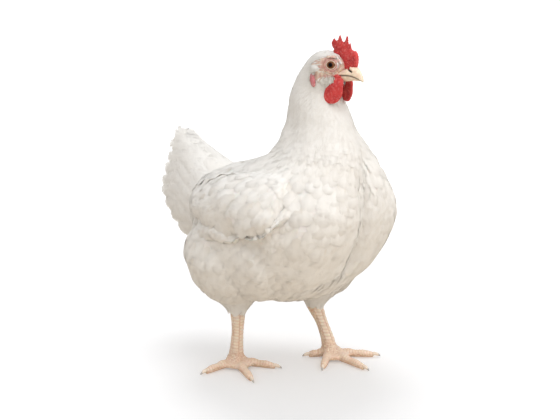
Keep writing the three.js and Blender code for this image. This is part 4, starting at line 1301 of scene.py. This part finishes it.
def build_coat(coat):
    """The feathers that grow all over the skin, by coat piece: fine ones on the neck, the head and
    the legs' ends, and contour feathers on the rest."""
    groups = {}
    fine = scatter_roots(coat, lambda s: feather_sizes(s)[:, 2], lambda s: feathered(s) * (1 - broad(s)))
    wide = scatter_roots(coat, contour_spacing, broad)
    for (roots, owners), contour in ((fine, False), (wide, True)):
        _, forward, up = stance(roots).T
        sizes, ways, stiff = plan_feathers(coat, roots, contour)
        pieces = np.array([piece_of(*root) for root in zip(forward, up, owners)])
        for name in sorted(set(pieces)):
            flock = groups.setdefault(name, Flock())
            for low, high, pairs in BARBS:
                of = (pieces == name) & (sizes[:, 1] >= low) & (sizes[:, 1] < high)
                if not of.any():
                    continue
                length, width, _, height, loose = sizes[of].T
                grid, rises = lay_on_skin(coat, roots[of], ways[of], length * MM, width * MM, stiff[of])
                heights = height * dice.uniform(0.96, 1.04, of.sum())
                shape = {"cup": 0.02 * low + 0.12}
                if contour:
                    domed = mix(0.3, 0.8, smooth(up[of], 180, 225))
                    shape = {"cup": 0.5, "domed": domed, "ragged": 0.02}
                    loose = loose * 0.5
                flock.add(coat, grid, rises, heights, loose, pairs, **shape)
    return groups


# Tufts on each side: the coat piece, the middle (|left|, forward, up), how far they spread, which
# way they point, how many, and their length, width, height and looseness.
TUFTS = [
    ("head", (18, 82, 400), (2, 3.6, 2.6), (0.35, -1, -0.25), 90, (7.5, 1.8, 3.4, 0.6)),
    ("head", (18, 78, 396), (2, 2.6, 3.4), (0.35, -0.7, -0.7), 70, (8.0, 1.8, 3.0, 0.6)),
    ("head", (8, 111, 411), (3, 3.0, 4.5), (0.1, -0.8, 0.75), 90, (7.5, 1.2, 1.8, 0.6)),
    ("head", (13, 108, 405), (2, 2.4, 4.6), (0.1, -0.75, 0.7), 60, (5.5, 0.9, 1.2, 0.6)),
    ("head", (14, 101, 384), (2, 5.5, 2.2), (0.5, 0.05, -1), 120, (6.5, 1.1, 3.6, 0.7)),
    ("head", (14, 100, 391), (2, 5.0, 1.6), (0.55, 0.3, -1), 60, (6.0, 1.1, 4.2, 0.7)),
    ("tail", (10, -204, 240), (14, 2, 44), (0.1, -0.1, -1), 90, (26, 9, 1.0, 0.7)),
    ("tail", (14, -194, 200), (20, 4, 44), (0.1, 0.2, -1), 90, (26, 9, 1.0, 0.7)),
    ("tail", (14, -166, 165), (24, 6, 30), (0.05, 0.5, -1), 70, (24, 9, 1.0, 0.8)),
    ("head", (15, 96, 389), (3, 7.0, 2.4), (0.3, -0.5, -0.9), 110, (6.0, 1.1, 1.8, 0.7)),
]
# The end of each thigh as rings round the shank: up, left, forward, and half its size to the left
# and forward. Its feathers hang over the shank in layers, whose tips reach the heights in LAYERS
# over the last ring.
CUFFS = {
    "right": [
        (132, -67, -23, 36, 43), (112, -63, -22, 32, 35), (98, -60, -22, 25, 27.5),
        (88, -58, -22.5, 18.5, 20.5), (81, -57.4, -22.3, 13, 15), (75, -57.2, -22, 10.5, 11.5),
    ],
    "left": [
        (124, 65, 27, 33, 37), (104, 61, 22, 30, 34), (90, 58, 16.5, 24, 27),
        (79, 55, 13.5, 18, 20.5), (72, 54.2, 13, 13, 15), (66, 54, 13, 10.5, 12),
    ],
}
LAYERS = [24, 19, 14, 9.5, 5, 1]
PER_LAYER = 34


def build_tufts(coat, groups):
    """The loose tufts, and the layers of feathers round the ends of the thighs."""
    for piece, middle, spread, way, count, (length, width, height, loose) in TUFTS:
        pairs = 4 if width < 3 else 12
        for sign in SIDES.values():
            mirror = [sign, 1, 1]
            spots = np.array(middle) * mirror + dice.normal(0, 0.5, (count, 3)) * spread
            roots, _ = coat.settle(place(spots))
            ways = heading(np.array(way) * mirror + dice.normal(0, 0.12, (count, 3)))
            lengths = length * dice.uniform(0.8, 1.2, count) * MM
            widths = np.full(count, width * MM)
            grid, rises = lay_on_skin(coat, roots, ways, lengths, widths, LOOSE_STIFFNESS)
            groups[piece].add(coat, grid, rises, height, loose, pairs, cup=0.15)
    for side, rings in CUFFS.items():
        build_cuff(coat, groups["thigh_" + side], np.array(rings, float))


def build_cuff(coat, flock, rings):
    """Small loose feathers in layers round the end of a thigh."""
    for layer, rise in enumerate(LAYERS):
        around = (np.arange(PER_LAYER) + 0.5 * (layer % 2)) / PER_LAYER * 2 * math.pi
        around = around + dice.normal(0, 0.06, PER_LAYER)
        tip = rings[-1, 0] + rise + dice.normal(0, 1.9, PER_LAYER)
        long = dice.uniform(17, 23, PER_LAYER)

        def spot(station, out):
            up = tip + long * (1 - station)
            left, forward, wide, deep = (curve(-rings[:, 0], rings[:, c], -up) for c in (1, 2, 3, 4))
            turn = around + out * 4.0 / np.sqrt(wide * deep)
            cos, sin = np.cos(turn), np.sin(turn)
            facing = np.stack([cos / wide, sin / deep, np.full(PER_LAYER, -0.012)], -1)
            return place(np.stack([left + wide * cos, forward + deep * sin, up], -1)), heading(facing)

        grid, rises = feather_grid(PER_LAYER, spot)
        heights = 0.4 + 0.3 * (len(LAYERS) - 1 - layer) + dice.normal(0, 0.25, PER_LAYER)
        flock.add(coat, grid, rises, heights, 0.6, 8, cup=0.2, ragged=0.08)


# Rows of wing feathers, the lowest first: the line their tips lie on (forward, up), how steeply
# the first and last point down, their length, width and height over the skin.
WING_ROWS = [
    {
        "tips": [(-58, 203), (-86, 210), (-101, 221)],
        "dips": (16, 5), "count": 5, "long": 66, "wide": 13, "lift": 1.0,
    },
    {
        "tips": [(-22, 208), (-60, 215), (-93, 229)],
        "dips": (26, 8), "count": 8, "long": 60, "wide": 22, "lift": 1.2,
    },
    {
        "tips": [(-6, 216), (-38, 224), (-66, 237)],
        "dips": (28, 10), "count": 7, "long": 44, "wide": 22, "lift": 1.6,
    },
]


def build_wing(coat, flock, side):
    """The rows of long feathers of one folded wing."""
    for row in WING_ROWS:
        count = row["count"]
        share = (np.arange(count) + 0.5) / count
        tips = np.array(row["tips"], float)
        tip = np.stack([curve([0, 0.5, 1], tips[:, k], share) for k in range(2)], -1)
        tip += dice.normal(0, 1.2, tip.shape)
        dips = np.radians(mix(*row["dips"], share) + dice.normal(0, 2.0, count))
        way = np.stack([-np.cos(dips), -np.sin(dips)], -1)
        across = np.stack([-way[:, 1], way[:, 0]], -1)
        long = row["long"] * dice.uniform(0.93, 1.07, count)

        def spot(station, out):
            flat = tip - way * (long * (1 - station))[:, None] + across * (out * row["wide"] / 2)
            return from_side(coat, SIDES[side], flat)

        grid, rises = feather_grid(count, spot)
        rises = unit(rises + rises.mean(1, keepdims=True))
        heights = row["lift"] + dice.normal(0, 0.15, count)
        flock.add(coat, grid, rises, heights, 0.12, 26, cup=1.0, ragged=0.02, domed=0.8)


BODY_SIDE = 95  # how far out a feather starts that finds no skin
THINNEST = 45  # skin nearer the hen's middle than this is not the body's side
OUTSIDE = 180


def from_side(coat, sign, flat):
    """Places on the skin's side at (forward, up), found from straight out to that side. Behind the
    body they run on straight from the last place found."""
    spots = np.empty((len(flat), 3))
    normals = np.empty((len(flat), 3))
    last = place((sign * BODY_SIDE, 0, 0))[0]
    for k, (forward, up) in enumerate(flat):
        start = place((sign * OUTSIDE, forward, up))
        spot, normal, _, _ = coat.tree.ray_cast(Vector(start), Vector((-sign, 0, 0)), 0.16)
        if spot is None or abs(spot.x) < THINNEST * MM:
            spot = Vector((last, start[1], start[2]))
            normal = Vector((sign, 0, 0))
        spots[k] = spot
        normals[k] = normal
        last = spot.x
    return spots, normals


# Rows of tail feathers from the longest to the topmost: first and last turn, where from root to
# tip they start and end, their width and their height over the tail's surface.
TAIL_ROWS = [
    {"count": 11, "from": 0.03, "to": 0.98, "start": 0.50, "end": 1.0, "wide": 22, "lift": -1.4},
    {"count": 11, "from": 0.01, "to": 0.96, "start": 0.44, "end": 0.94, "wide": 22, "lift": -0.9},
    {"count": 10, "from": 0.04, "to": 0.97, "start": 0.36, "end": 0.87, "wide": 23, "lift": -0.4},
    {"count": 10, "from": 0.01, "to": 0.94, "start": 0.28, "end": 0.79, "wide": 23, "lift": 0.0},
    {"count": 10, "from": 0.04, "to": 0.96, "start": 0.18, "end": 0.70, "wide": 23, "lift": 0.4},
    {"count": 9, "from": 0.02, "to": 0.93, "start": 0.08, "end": 0.60, "wide": 23, "lift": 0.8},
    {"count": 9, "from": 0.05, "to": 0.95, "start": -0.04, "end": 0.49, "wide": 22, "lift": 1.1},
    {"count": 8, "from": 0.02, "to": 0.90, "start": -0.16, "end": 0.38, "wide": 22, "lift": 1.4},
]
# The feathers on the tail's ridge: where from root to tip they start and end.
RIDGE = [(0.42, 1.0), (0.30, 0.88), (0.18, 0.74), (0.08, 0.60), (0.0, 0.46), (-0.1, 0.32)]


def build_tail(coat, flock, side):
    """The rows of long feathers on one side of the tail."""
    for row in TAIL_ROWS:
        count = row["count"]
        share = (np.arange(count) + 0.5) / count
        middle = mix(row["from"], row["to"], share) + dice.normal(0, 0.008, count)
        end = row["end"] * dice.uniform(0.97, 1.01, count)

        def spot(station, out):
            along = mix(row["start"], end, station)
            turn = middle + out * row["wide"] / 2 / turn_length(middle, along)
            return tail_place(SIDES[side], turn, along, row["lift"] + out * 0.4)

        grid, rises = feather_grid(count, spot)
        heights = 0.9 + dice.normal(0, 0.12, count)
        flock.add(coat, grid, rises, heights, 0.2, 20, cup=0.4, ragged=0.03, blunt=2.8, domed=0.5)


def build_ridge(coat, flock):
    """Feathers over the ridge where the tail's two sides meet."""
    count = len(RIDGE)
    start, end = np.array(RIDGE).T
    lift = np.arange(count) * 0.4 - 1.2

    def spot(station, out):
        along = mix(start, end, station)
        points, facing = tail_place(out or 1, 0.2, along, lift)
        if out == 0:
            points = tail_place(1, 0.01, along, lift + 0.6)[0] * [0, 1, 1]
        return points, facing * [0, 1, 1]

    grid, rises = feather_grid(count, spot)
    flock.add(coat, grid, unit(rises), 0.8, 0.2, 22, cup=0.0, ragged=0.03)


# ---------------------------------------------------------------- head parts
BEAK = {
    "forward": [105, 107, 113, 120, 126, 130, 134, 137],
    "ridge": [398, 398.6, 400.6, 403.4, 404.8, 403.7, 400.0, 395.8],
    "mouth": [393.2, 393.4, 393.8, 394.0, 393.4, 392.2, 390.6, 388.8],
    "under": [384.8, 385, 385.8, 387.0, 387.8, 388.0, 388.0, 388.0],
    "half": [9.8, 9.6, 9.0, 7.8, 6.5, 5.3, 4.0, 2.6],
}
BEAK_TIP = (138.7, 386.4)
LOWER_TIP = (135.6, 388.6)
NOSTRIL = [(117.8, 402.6), (125.6, 399.0)]  # the slit's ends: forward, up


BEAK_MIDDLE = 395  # the height of the bill's middle at its root


def beak_line(key, forward):
    """One of the bill's lines, read at places from its root to its tip."""
    return curve(BEAK["forward"], BEAK[key], np.minimum(forward, BEAK["forward"][-1]))


def beak_shell(upper):
    """One half of the bill as a closed loft, narrowing to its tip."""
    tip_forward, tip_up = BEAK_TIP if upper else LOWER_TIP
    rows, columns = 70, 64
    share = np.linspace(0, 1, rows) ** 0.85
    forward = mix(BEAK["forward"][0], tip_forward, share)
    ridge, mouth, under, half = (beak_line(key, forward) for key in ("ridge", "mouth", "under", "half"))
    last = BEAK["forward"][-1] if upper else 133.0
    close = np.sqrt(np.clip(1 - np.clip((forward - last) / (tip_forward - last), 0, 1) ** 2, 0, 1))
    half = half * (1.0 if upper else 0.9) * close
    if not upper:
        mouth = mouth - 0.5
    rise = (ridge - mouth if upper else under - mouth) * close
    base = mix(tip_up, mouth, close)
    turn = np.linspace(-math.pi, math.pi, columns, endpoint=False)
    cos, sin = np.cos(turn), np.sin(turn)
    arch = np.where(cos > 0, np.abs(cos) ** 0.72, -0.05 * np.abs(cos))
    rim = 1 + 0.05 * bell(cos - 0.12, 0.1)
    side = np.sign(sin) * np.abs(sin) ** 0.8 * rim * (1 - 0.2 * np.clip(cos, 0, 1) ** 2)
    left = half[:, None] * side
    up = base[:, None] + rise[:, None] * arch
    points = np.stack([left, np.broadcast_to(forward[:, None], left.shape), up], -1).reshape(-1, 3)
    faces = grid_faces(rows, columns, wrap=True)
    return points, faces[:, ::-1] if upper else faces


def segment_distance(p, a, b):
    """How far points are from a segment, and how far along it they are."""
    a, b = np.asarray(a, float), np.asarray(b, float)
    t = np.clip(((p - a) @ (b - a)) / ((b - a) @ (b - a)), 0, 1)
    return np.linalg.norm(p - a - t[:, None] * (b - a), axis=1), t


def nostril_shape(s):
    """How far the nostril's slit and the flap over it move the bill, and how much painted shade darkens
    the slit.
    """
    left, _, up = s.T
    apart, t = segment_distance(s[:, 1:], *NOSTRIL)
    sideways = smooth(np.abs(left), 1.6, 2.6)
    slit = (1 - smooth(apart, 0.55, 1.25)) * sideways
    above = up - mix(NOSTRIL[0][1], NOSTRIL[1][1], t)
    flap = bell(above - 1.8, 1.2) * (1 - smooth(apart, 2.2, 4.5)) * sideways
    return 0.75 * flap - 2.2 * slit, smooth(slit, 0.2, 0.6)


def build_beak():
    """Both halves of the bill, with the nostrils, and painted shade in the nostrils' slits and along the
    seam where the halves meet.
    """
    paint = horn_paint()
    for half, upper in (("upper", True), ("lower", False)):
        s, faces = beak_shell(upper)
        outward = unit((s - [0, 0, BEAK_MIDDLE]) * [1, 0, 1])
        rise = 0.10 * ripples(s * [1, 0.35, 1], 3.0, 21)
        # Painted shade along the seam where the halves meet, and in the nostrils' slits below.
        dark = 0.85 * bell(s[:, 2] - beak_line("mouth", s[:, 1]), 0.45)
        if upper:
            nostril, slit = nostril_shape(s)
            rise += nostril
            dark = np.maximum(dark, slit)
        s = s + outward * rise[:, None]
        root = 1 - smooth(s[:, 1] - (s[:, 2] - BEAK_MIDDLE) * 0.25, 112, 119)
        made = make_object("bill_" + half, place(s), faces, {"root": root, "dark": dark})
        finish_piece(made, paint, "beak", "beak_" + half)


def organic(name, nodes, voxel, rounds, shape, paint, slot, hulls=()):
    """A finer copy of some CAD nodes, joined with the hulls of some stance points, smoothed and
    raised by shape(stance points, normals)."""
    def build(joined):
        for node in nodes:
            add_welded(joined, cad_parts[node].data, 0.25 * MM)
        for points in hulls:
            add_hull(joined, place(points))

    made = remeshed(name, build, voxel)
    raise_skin(made, relax(mesh_points(made.data), mesh_edges(made.data), rounds), shape)
    finish_piece(made, paint, slot, *nodes)


# Outlines of the comb and of a wattle: forward and up, round each one.
COMB = [
    (91.4, 423.8), (89.1, 425.9), (88.5, 429.9), (89.7, 433.4), (92.3, 436.2), (94.7, 434.4),
    (96.2, 433.6), (98.9, 435.0), (100.4, 437.6), (102.1, 441.0), (103.9, 438.4), (105.9, 434.3),
    (107.6, 432.8), (109.7, 434.6), (111.3, 437.8), (112.7, 439.9), (113.7, 439.1), (114.3, 435.8),
    (114.9, 431.9), (115.7, 430.0), (116.6, 430.9), (117.4, 431.6), (118.4, 430.5), (119.0, 427.7),
    (120.1, 425.2), (122.1, 423.9), (124.4, 422.4), (126.2, 423.4), (128.1, 421.6), (129.4, 417.8),
    (130.6, 413.3), (130.7, 408.8), (129.6, 404.2), (126, 400.5), (120, 399), (112, 399),
    (104, 406), (96, 413), (91, 418),
]
WATTLE = [
    (112.6, 392.6), (109.0, 395.0), (104.4, 394.6), (101.6, 392.0), (103.0, 388.6), (99, 383),
    (93.5, 377.5), (90.0, 371.0), (90.6, 364.6), (95.2, 360.0), (101.5, 358.6), (107.8, 361.0),
    (112.2, 366.2), (114.6, 372.6), (115.0, 379.5), (114.2, 386),
]
LOBE_VOXEL = 0.5 * MM


def rounded(corners, steps=6):
    """A closed smooth line through the corners."""
    p = np.array(corners, float)
    t = (np.arange(steps) / steps)[:, None]
    line = []
    for k in range(len(p)):
        a, b, c, d = (p[(k + i) % len(p)] for i in (-1, 0, 1, 2))
        line.append(b + 0.5 * t * (c - a + t * (2 * a - 5 * b + 4 * c - d + t * (3 * (b - c) + d - a))))
    return np.concatenate(line)


def blade(name, corners, half, rim, middle, raised, paint, node):
    """A flat fleshy lobe inside an outline. At (forward, up) half gives half its thickness and
    middle how far left its middle lies; rim is how far in from the edge it rounds off, and raised
    shapes its pimples and folds."""
    line = rounded(corners)
    slab = 4.0  # half the thickness of the slab that it is cut from

    def build(joined):
        rings = [[joined.verts.new(place((left, f, u))) for f, u in line] for left in (-slab, slab)]
        joined.faces.new(rings[0])
        joined.faces.new(rings[1][::-1])
        for k in range(len(line)):
            j = (k + 1) % len(line)
            joined.faces.new([rings[0][k], rings[1][k], rings[1][j], rings[0][j]])

    made = remeshed(name, build, LOBE_VOXEL)
    s = stance(mesh_points(made.data))
    edge = line_distance(s[:, 1:], [*line, line[0]])
    share = np.clip(edge / rim, 0, 1)
    around = np.sqrt(1 - (1 - share) ** 2)
    left, forward, up = s.T
    thick = half(forward, up) * np.maximum(around, 0.12)
    s[:, 0] = np.clip(left / slab, -1, 1) * thick + middle(forward, up)
    raise_skin(made, relax(place(s), mesh_edges(made.data), 3, 0.4), raised)
    finish_piece(made, paint, "red_skin", node)


def build_comb_and_wattles():
    """The comb and both wattles as thin fleshy blades."""
    red = red_paint("comb_red")
    blade(
        "comb_flesh", COMB,
        half=lambda forward, up: mix(3.0, 1.25, smooth(up - (forward - 110) * 0.5, 402, 434)),
        rim=3.2,
        middle=lambda forward, up: 0.7 * np.sin(forward * 0.16 + 1) * smooth(up, 408, 438),
        raised=comb_shape, paint=red, node="comb",
    )
    for side, sign in SIDES.items():
        def middle(forward, up):
            bow = 1.2 * np.sin((forward - 88) * 0.16)
            return sign * (12.2 - 0.16 * (forward - 103) + bow - 3.0 * smooth(up, 380, 392))

        blade(
            "wattle_flesh_" + side, WATTLE,
            half=lambda _, up: mix(1.9, 2.6, smooth(up, 364, 388)) + 0.9 * smooth(up, 387, 393),
            rim=2.6, middle=middle, raised=wattle_shape, paint=red, node="wattle_" + side,
        )


def comb_shape(s, _):
    """Pimples all over the comb, coarser toward its root."""
    _, forward, up = s.T
    pebbles = cells(s, 2.4)
    fine = cells(s + 7, 1.3)
    root = 1 - smooth(up + (forward - 100) * 0.55, 414, 430)
    rise = 0.35 * ripples(s, 7, 31) + 0.75 * (pebbles - 0.6) * (0.45 + root) + 0.3 * (fine - 0.6)
    return rise, (1 - pebbles) * (0.35 + 0.5 * root)


def wattle_shape(s, _):
    """Fine pimples and shallow upright folds, with coarser pimples by the corner of the mouth."""
    _, forward, up = s.T
    fine = cells(s, 1.5)
    folds = np.sin(forward * 0.55 + ripples(s, 9, 35) * 1.1) * smooth(up, 372, 392)
    rise = 0.3 * (fine - 0.6) + 0.3 * ripples(s, 8, 33) + 0.35 * folds
    gape = smooth(up, 386, 391) * (cells(s + 3, 2.1) - 0.6)
    return rise + 0.5 * gape, (1 - fine) * 0.5


# The lids from the eye outward: millimetres off the eye's axis and along it.
LID_PROFILE = [
    (4.7, 4.3), (4.85, 4.85), (5.15, 5.2), (5.5, 5.2), (5.85, 4.95), (6.2, 4.45), (6.6, 4.3),
    (7.0, 4.45), (7.5, 4.5), (8.0, 4.2), (8.4, 3.85), (8.9, 3.75), (9.5, 3.3), (10.4, 2.5), (11.4, 1.4),
]


def round_eye(sign, radius, height, turn, wide=1.0, high=1.0):
    """Points at millimetres off one eye's axis and along it."""
    facing = heading(EYE_FACING * [sign, 1, 1])
    level = unit(np.cross(facing, [0, 0, 1]))
    level = level if level[1] < 0 else -level
    rise = np.cross(facing, level)
    rise = rise if rise[2] > 0 else -rise
    x, y = radius * np.cos(turn) * wide, radius * np.sin(turn) * high
    off = x[..., None] * level + y[..., None] * rise + height[..., None] * facing
    return (place(EYE_PLACE * [sign, 1, 1]) + off * MM).reshape(-1, 3)


def rings_of(profile, columns):
    """Radius, height and turn at every point of a profile that is turned round an axis."""
    turn = np.linspace(0, 2 * math.pi, columns, endpoint=False)
    radius, height = (np.repeat(np.asarray(line)[:, None], columns, 1) for line in profile)
    return radius, height, np.broadcast_to(turn, radius.shape)


def build_eyes():
    """Eyeballs with a bulging pupil, and wrinkled lids with drawn-out corners."""
    paint, lids = eye_paint(), lid_paint()
    for side, sign in SIDES.items():
        polar = np.linspace(0, math.radians(118), 40)
        radius = EYE_RADIUS * np.sin(polar)
        bulge = 0.55 * np.exp(-((radius / 3.6) ** 4)) * (polar < 1.5)
        r, h, a = rings_of((radius, EYE_RADIUS * np.cos(polar) + bulge), 64)
        rays = 0.5 + 0.5 * np.sin(a * 17 + np.sin(a * 5) * 2 + r * 1.3)
        attributes = {"ring": r.ravel(), "rays": rays.ravel()}
        faces = grid_faces(*r.shape, wrap=True)
        made = make_object("eyeball_" + side, round_eye(sign, r, h, a), faces, attributes)
        finish_piece(made, paint, "eye", "eye_" + side)

        r, h, a = rings_of(np.array(LID_PROFILE).T, 96)
        outer = smooth(r, 6, 9)
        h = h + 0.16 * np.sin(a * 31 + np.sin(a * 7) * 2) * outer + 0.12 * np.sin(a * 12) * outer
        corner = bell(np.cos(a) - 1, 0.05) + bell(np.cos(a) + 1, 0.05)
        r = r + 0.5 * corner * (1 - smooth(r, 5.5, 9))
        points = round_eye(sign, r, h, a, 1.06, 0.93)
        faces = grid_faces(*r.shape, wrap=True)
        made = make_object("eyelids_" + side, points, faces, {"ring": r.ravel()})
        finish_piece(made, lids, "red_skin")


# ---------------------------------------------------------------- legs
LEGS = {
    "right": {
        "shank": [
            (-58, -23, 104), (-57.5, -22, 90), (-57, -21.5, 74),
            (-56, -23, 50), (-55, -26, 28), (-54, -28, 12),
        ],
        "foot": (-53.5, -30), "hock": 0.2,
        "toes": {"hallux": (-28, -56), "inner": (-23, 27), "middle": (-84, 37), "outer": (-114, -32)},
    },
    "left": {
        "shank": [(53, -3, 94), (53, 4, 82), (53.5, 13, 66), (55, 24, 46), (56, 33, 27), (56.5, 38, 12)],
        "foot": (56.5, 37.2), "hock": 1.5,
        "toes": {"hallux": (27, 15), "inner": (7.5, 70), "middle": (51, 114), "outer": (103, 89)},
    },
}
SCUTE_PITCH = 4.4  # from one scute to the next down the shank
TOE_PITCH = 3.9  # from one band to the next along a toe


def leg_shape(leg):
    """Raised scales for one leg: two columns of scutes down the front of the shank, bands over
    each toe, and small round scales elsewhere."""
    path = np.array(leg["shank"], float)
    foot = np.array([*leg["foot"], 9.0])
    tips = {name: np.array([*tip, 7.0]) for name, tip in leg["toes"].items()}
    front = unit(tips["middle"] - foot)

    def shape(s, normals):
        up = s[:, 2]
        axis = np.stack([np.interp(-up, -path[:, 2], path[:, k]) for k in range(2)], -1)
        out = s[:, :2] - axis
        turn = np.arctan2(out @ np.array([-front[1], front[0]]), out @ front[:2])
        round_front = np.abs(turn)
        down = (path[0, 2] - up) / SCUTE_PITCH
        part = (down + 0.5 * (turn > 0)) % 1.0
        plate = np.sin(np.pi * np.clip(part * 1.02, 0, 1)) ** 0.45 * (0.55 + 0.45 * part)
        plate *= smooth(round_front, 0.02, 0.14) * (1 - smooth(round_front, 0.85, 1.05))
        shank = smooth(up, 19, 27) * (1 - smooth(up, 88, 96))
        on_front = shank * (1 - smooth(round_front, 0.95, 1.15))
        small = cells(s, 2.3)
        rise = mix(0.42 * small, 0.95 * plate, on_front)
        low = mix(1 - small, 1 - plate, on_front)
        near = np.full(len(s), FAR)
        for tip in tips.values():
            apart, t = segment_distance(s, foot, tip)
            part = (t * np.linalg.norm(tip - foot) / TOE_PITCH) % 1.0
            band = np.sin(np.pi * part) ** 0.5 * (0.6 + 0.4 * part)
            top = smooth(normals[:, 2], 0.15, 0.5) * smooth(t, 0.2, 0.32) * (1 - shank)
            share = (apart < near) * smooth(t, 0.18, 0.3) * (1 - shank)
            near = np.minimum(near, apart)
            rise = mix(rise, mix(0.30 * small, 0.55 * band, top), share)
            low = mix(low, mix(1 - small, 1 - band, top), share)
        rise += leg["hock"] * smooth(up, 44, 78)
        flat = 1 - smooth(up, 0.3, 1.6)
        return mix(rise - 0.35, -0.28, flat), low * 0.8

    return shape


def webs(leg):
    """The skin between the roots of the front toes, as points to be hulled."""
    foot = np.array([*leg["foot"], 0.0])
    made = []
    for pair in (("outer", "middle"), ("middle", "inner")):
        corners = [foot + [0, 0, up] for up in (3, 13)]
        for toe in pair:
            tip = np.array([*leg["toes"][toe], 0.0])
            for share, up in ((0.2, 3), (0.2, 12), (0.44, 3), (0.44, 7.5)):
                corners.append(mix(foot, tip, share) + [0, 0, up])
        made.append(np.array(corners))
    return made


def build_legs():
    """The bare part of each leg with its toes, and the claws as pieces of their own."""
    paint = leg_paint()
    claws = claw_paint()
    for side, leg in LEGS.items():
        nodes = ["shank_" + side, "foot_" + side]
        organic("leg_" + side, nodes, 0.8 * MM, 6, leg_shape(leg), paint, "leg_skin", webs(leg))
        for toe, tip in leg["toes"].items():
            build_claw(side, toe, np.array(leg["foot"]), np.array(tip), claws)


def build_claw(side, toe, foot, tip, paint):
    node = f"claw_{toe}_{side}"
    made = remeshed(
        "nail_" + toe + "_" + side,
        lambda joined: add_welded(joined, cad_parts[node].data, 0.0),
        0.45 * MM,
    )
    points = relax(mesh_points(made.data), mesh_edges(made.data), 4)
    set_points(made.data, points)
    along = (stance(points)[:, :2] - tip) @ unit(tip - foot)
    set_attribute(made.data, "tip", smooth(along, -9, 0))
    finish_piece(made, paint, "claw", node)


# ---------------------------------------------------------------- stage and light
def stage_square(name, height, colours):
    """A large level square at a height, with a dull cloudy paint."""
    size = 9  # half its size in metres
    corners = [[-size, -size], [size, -size], [size, size], [-size, size]]
    points = [[*corner, height] for corner in corners]
    made = make_object(name, points, [[0, 1, 2, 3]])
    paint = Paint(name, Roughness=0.9, Specular_IOR_Level=0.0)
    paint.colour(paint.blend(*colours, paint.noise(2.0)))
    made.data.materials.append(paint.material)
    return made, paint


def build_stage():
    """A white floor with soft shadows, a dome of soft light, a lamp from above the camera's left, one
    from behind that lights only the floor, and a dull warm plane under the floor that stands for what
    little the floor throws back."""
    floor, paint = stage_square("floor", 0, ((0.78, 0.785, 0.80), (0.80, 0.80, 0.81)))
    away = paint.node("ShaderNodeVectorMath", {0: paint.where}, operation="LENGTH").outputs["Value"]
    paint.set("Emission Color", (1.0, 1.0, 1.0))
    paint.set("Emission Strength", paint.spread(away, 0.25, 1.3, 0.30, 0.62))
    floor.visible_diffuse = floor.visible_glossy = floor.visible_shadow = False
    bounce, _ = stage_square("bounce", -0.003, ((0.70, 0.62, 0.52), (0.72, 0.64, 0.54)))
    bounce.visible_camera = False
    dome = make_dome()
    world = bpy.data.worlds.new("studio")
    world.use_nodes = True
    world.node_tree.nodes["Background"].inputs["Color"].default_value = (1.0, 1.0, 1.0, 1.0)
    world.cycles_visibility.diffuse = world.cycles_visibility.glossy = False
    bpy.context.scene.world = world
    key = add_light("key", (-180, 1000, 1700), 2.5, 30.0)
    back = add_light("back", (560, -560, 2300), 1.1, 17.0)
    for light, state in ((key, "EXCLUDE"), (back, "INCLUDE")):
        lit = bpy.data.collections.new(light.name + "_lit")
        lit.objects.link(floor)
        lit.collection_objects[0].light_linking.link_state = state
        light.light_linking.receiver_collection = lit
    settings = bpy.context.scene.view_settings
    settings.view_transform = "Standard"
    settings.look = "None"


DOME = 14.0  # metres from the hen to the dome of light


def make_dome():
    """Half a ball of light round the hen that the camera doesn't see, brighter overhead."""
    turn, rise = np.meshgrid(
        np.linspace(0, 2 * math.pi, 48, endpoint=False), np.linspace(-0.12, math.pi / 2, 16)
    )
    points = DOME * np.stack([np.cos(rise) * np.cos(turn), np.cos(rise) * np.sin(turn), np.sin(rise)], -1)
    dome = make_object("dome", points.reshape(-1, 3), grid_faces(*turn.shape, wrap=True))
    paint = Paint("dome", Roughness=1.0, Specular_IOR_Level=0.0)
    paint.colour((0.0, 0.0, 0.0))
    overhead = paint.spread(paint.height(), 0.0, 0.9 * DOME)
    paint.set("Emission Color", paint.blend((0.60, 0.60, 0.60), (0.78, 0.78, 0.78), overhead))
    paint.set("Emission Strength", 1.0)
    dome.data.materials.append(paint.material)
    dome.visible_camera = False
    dome.visible_shadow = False
    return dome


def add_light(name, spot, size, power):
    """A round lamp at a stance point, turned toward the hen's middle."""
    data = bpy.data.lights.new(name, "AREA")
    data.shape = "DISK"
    data.size = size
    data.energy = power
    light = bpy.data.objects.new(name, data)
    light.location = place(spot)
    aim = Vector(place((0, 0, 200))) - light.location
    light.rotation_euler = aim.to_track_quat("-Z", "Y").to_euler()
    bpy.context.scene.collection.objects.link(light)
    return light


make_camera()
build_stage()
skin, labels = build_skin()
coat = Coat(skin, labels)
plumage = plumage_paint()
groups = build_coat(coat)
build_tufts(coat, groups)
for side in SIDES:
    build_wing(coat, groups["wing_" + side], side)
    build_tail(coat, groups["tail"], side)
build_ridge(coat, groups["tail"])
for name, flock in groups.items():
    flock.finish(name, plumage)
build_comb_and_wattles()
lobe = red_paint("lobe_pink", (0.58, 0.20, 0.21), (0.40, 0.07, 0.09), (0.74, 0.46, 0.43))
for side in SIDES:
    organic("lobe_flesh_" + side, ["earlobe_" + side], LOBE_VOXEL, 4, wattle_shape, lobe, "red_skin")
build_beak()
build_eyes()
build_legs()
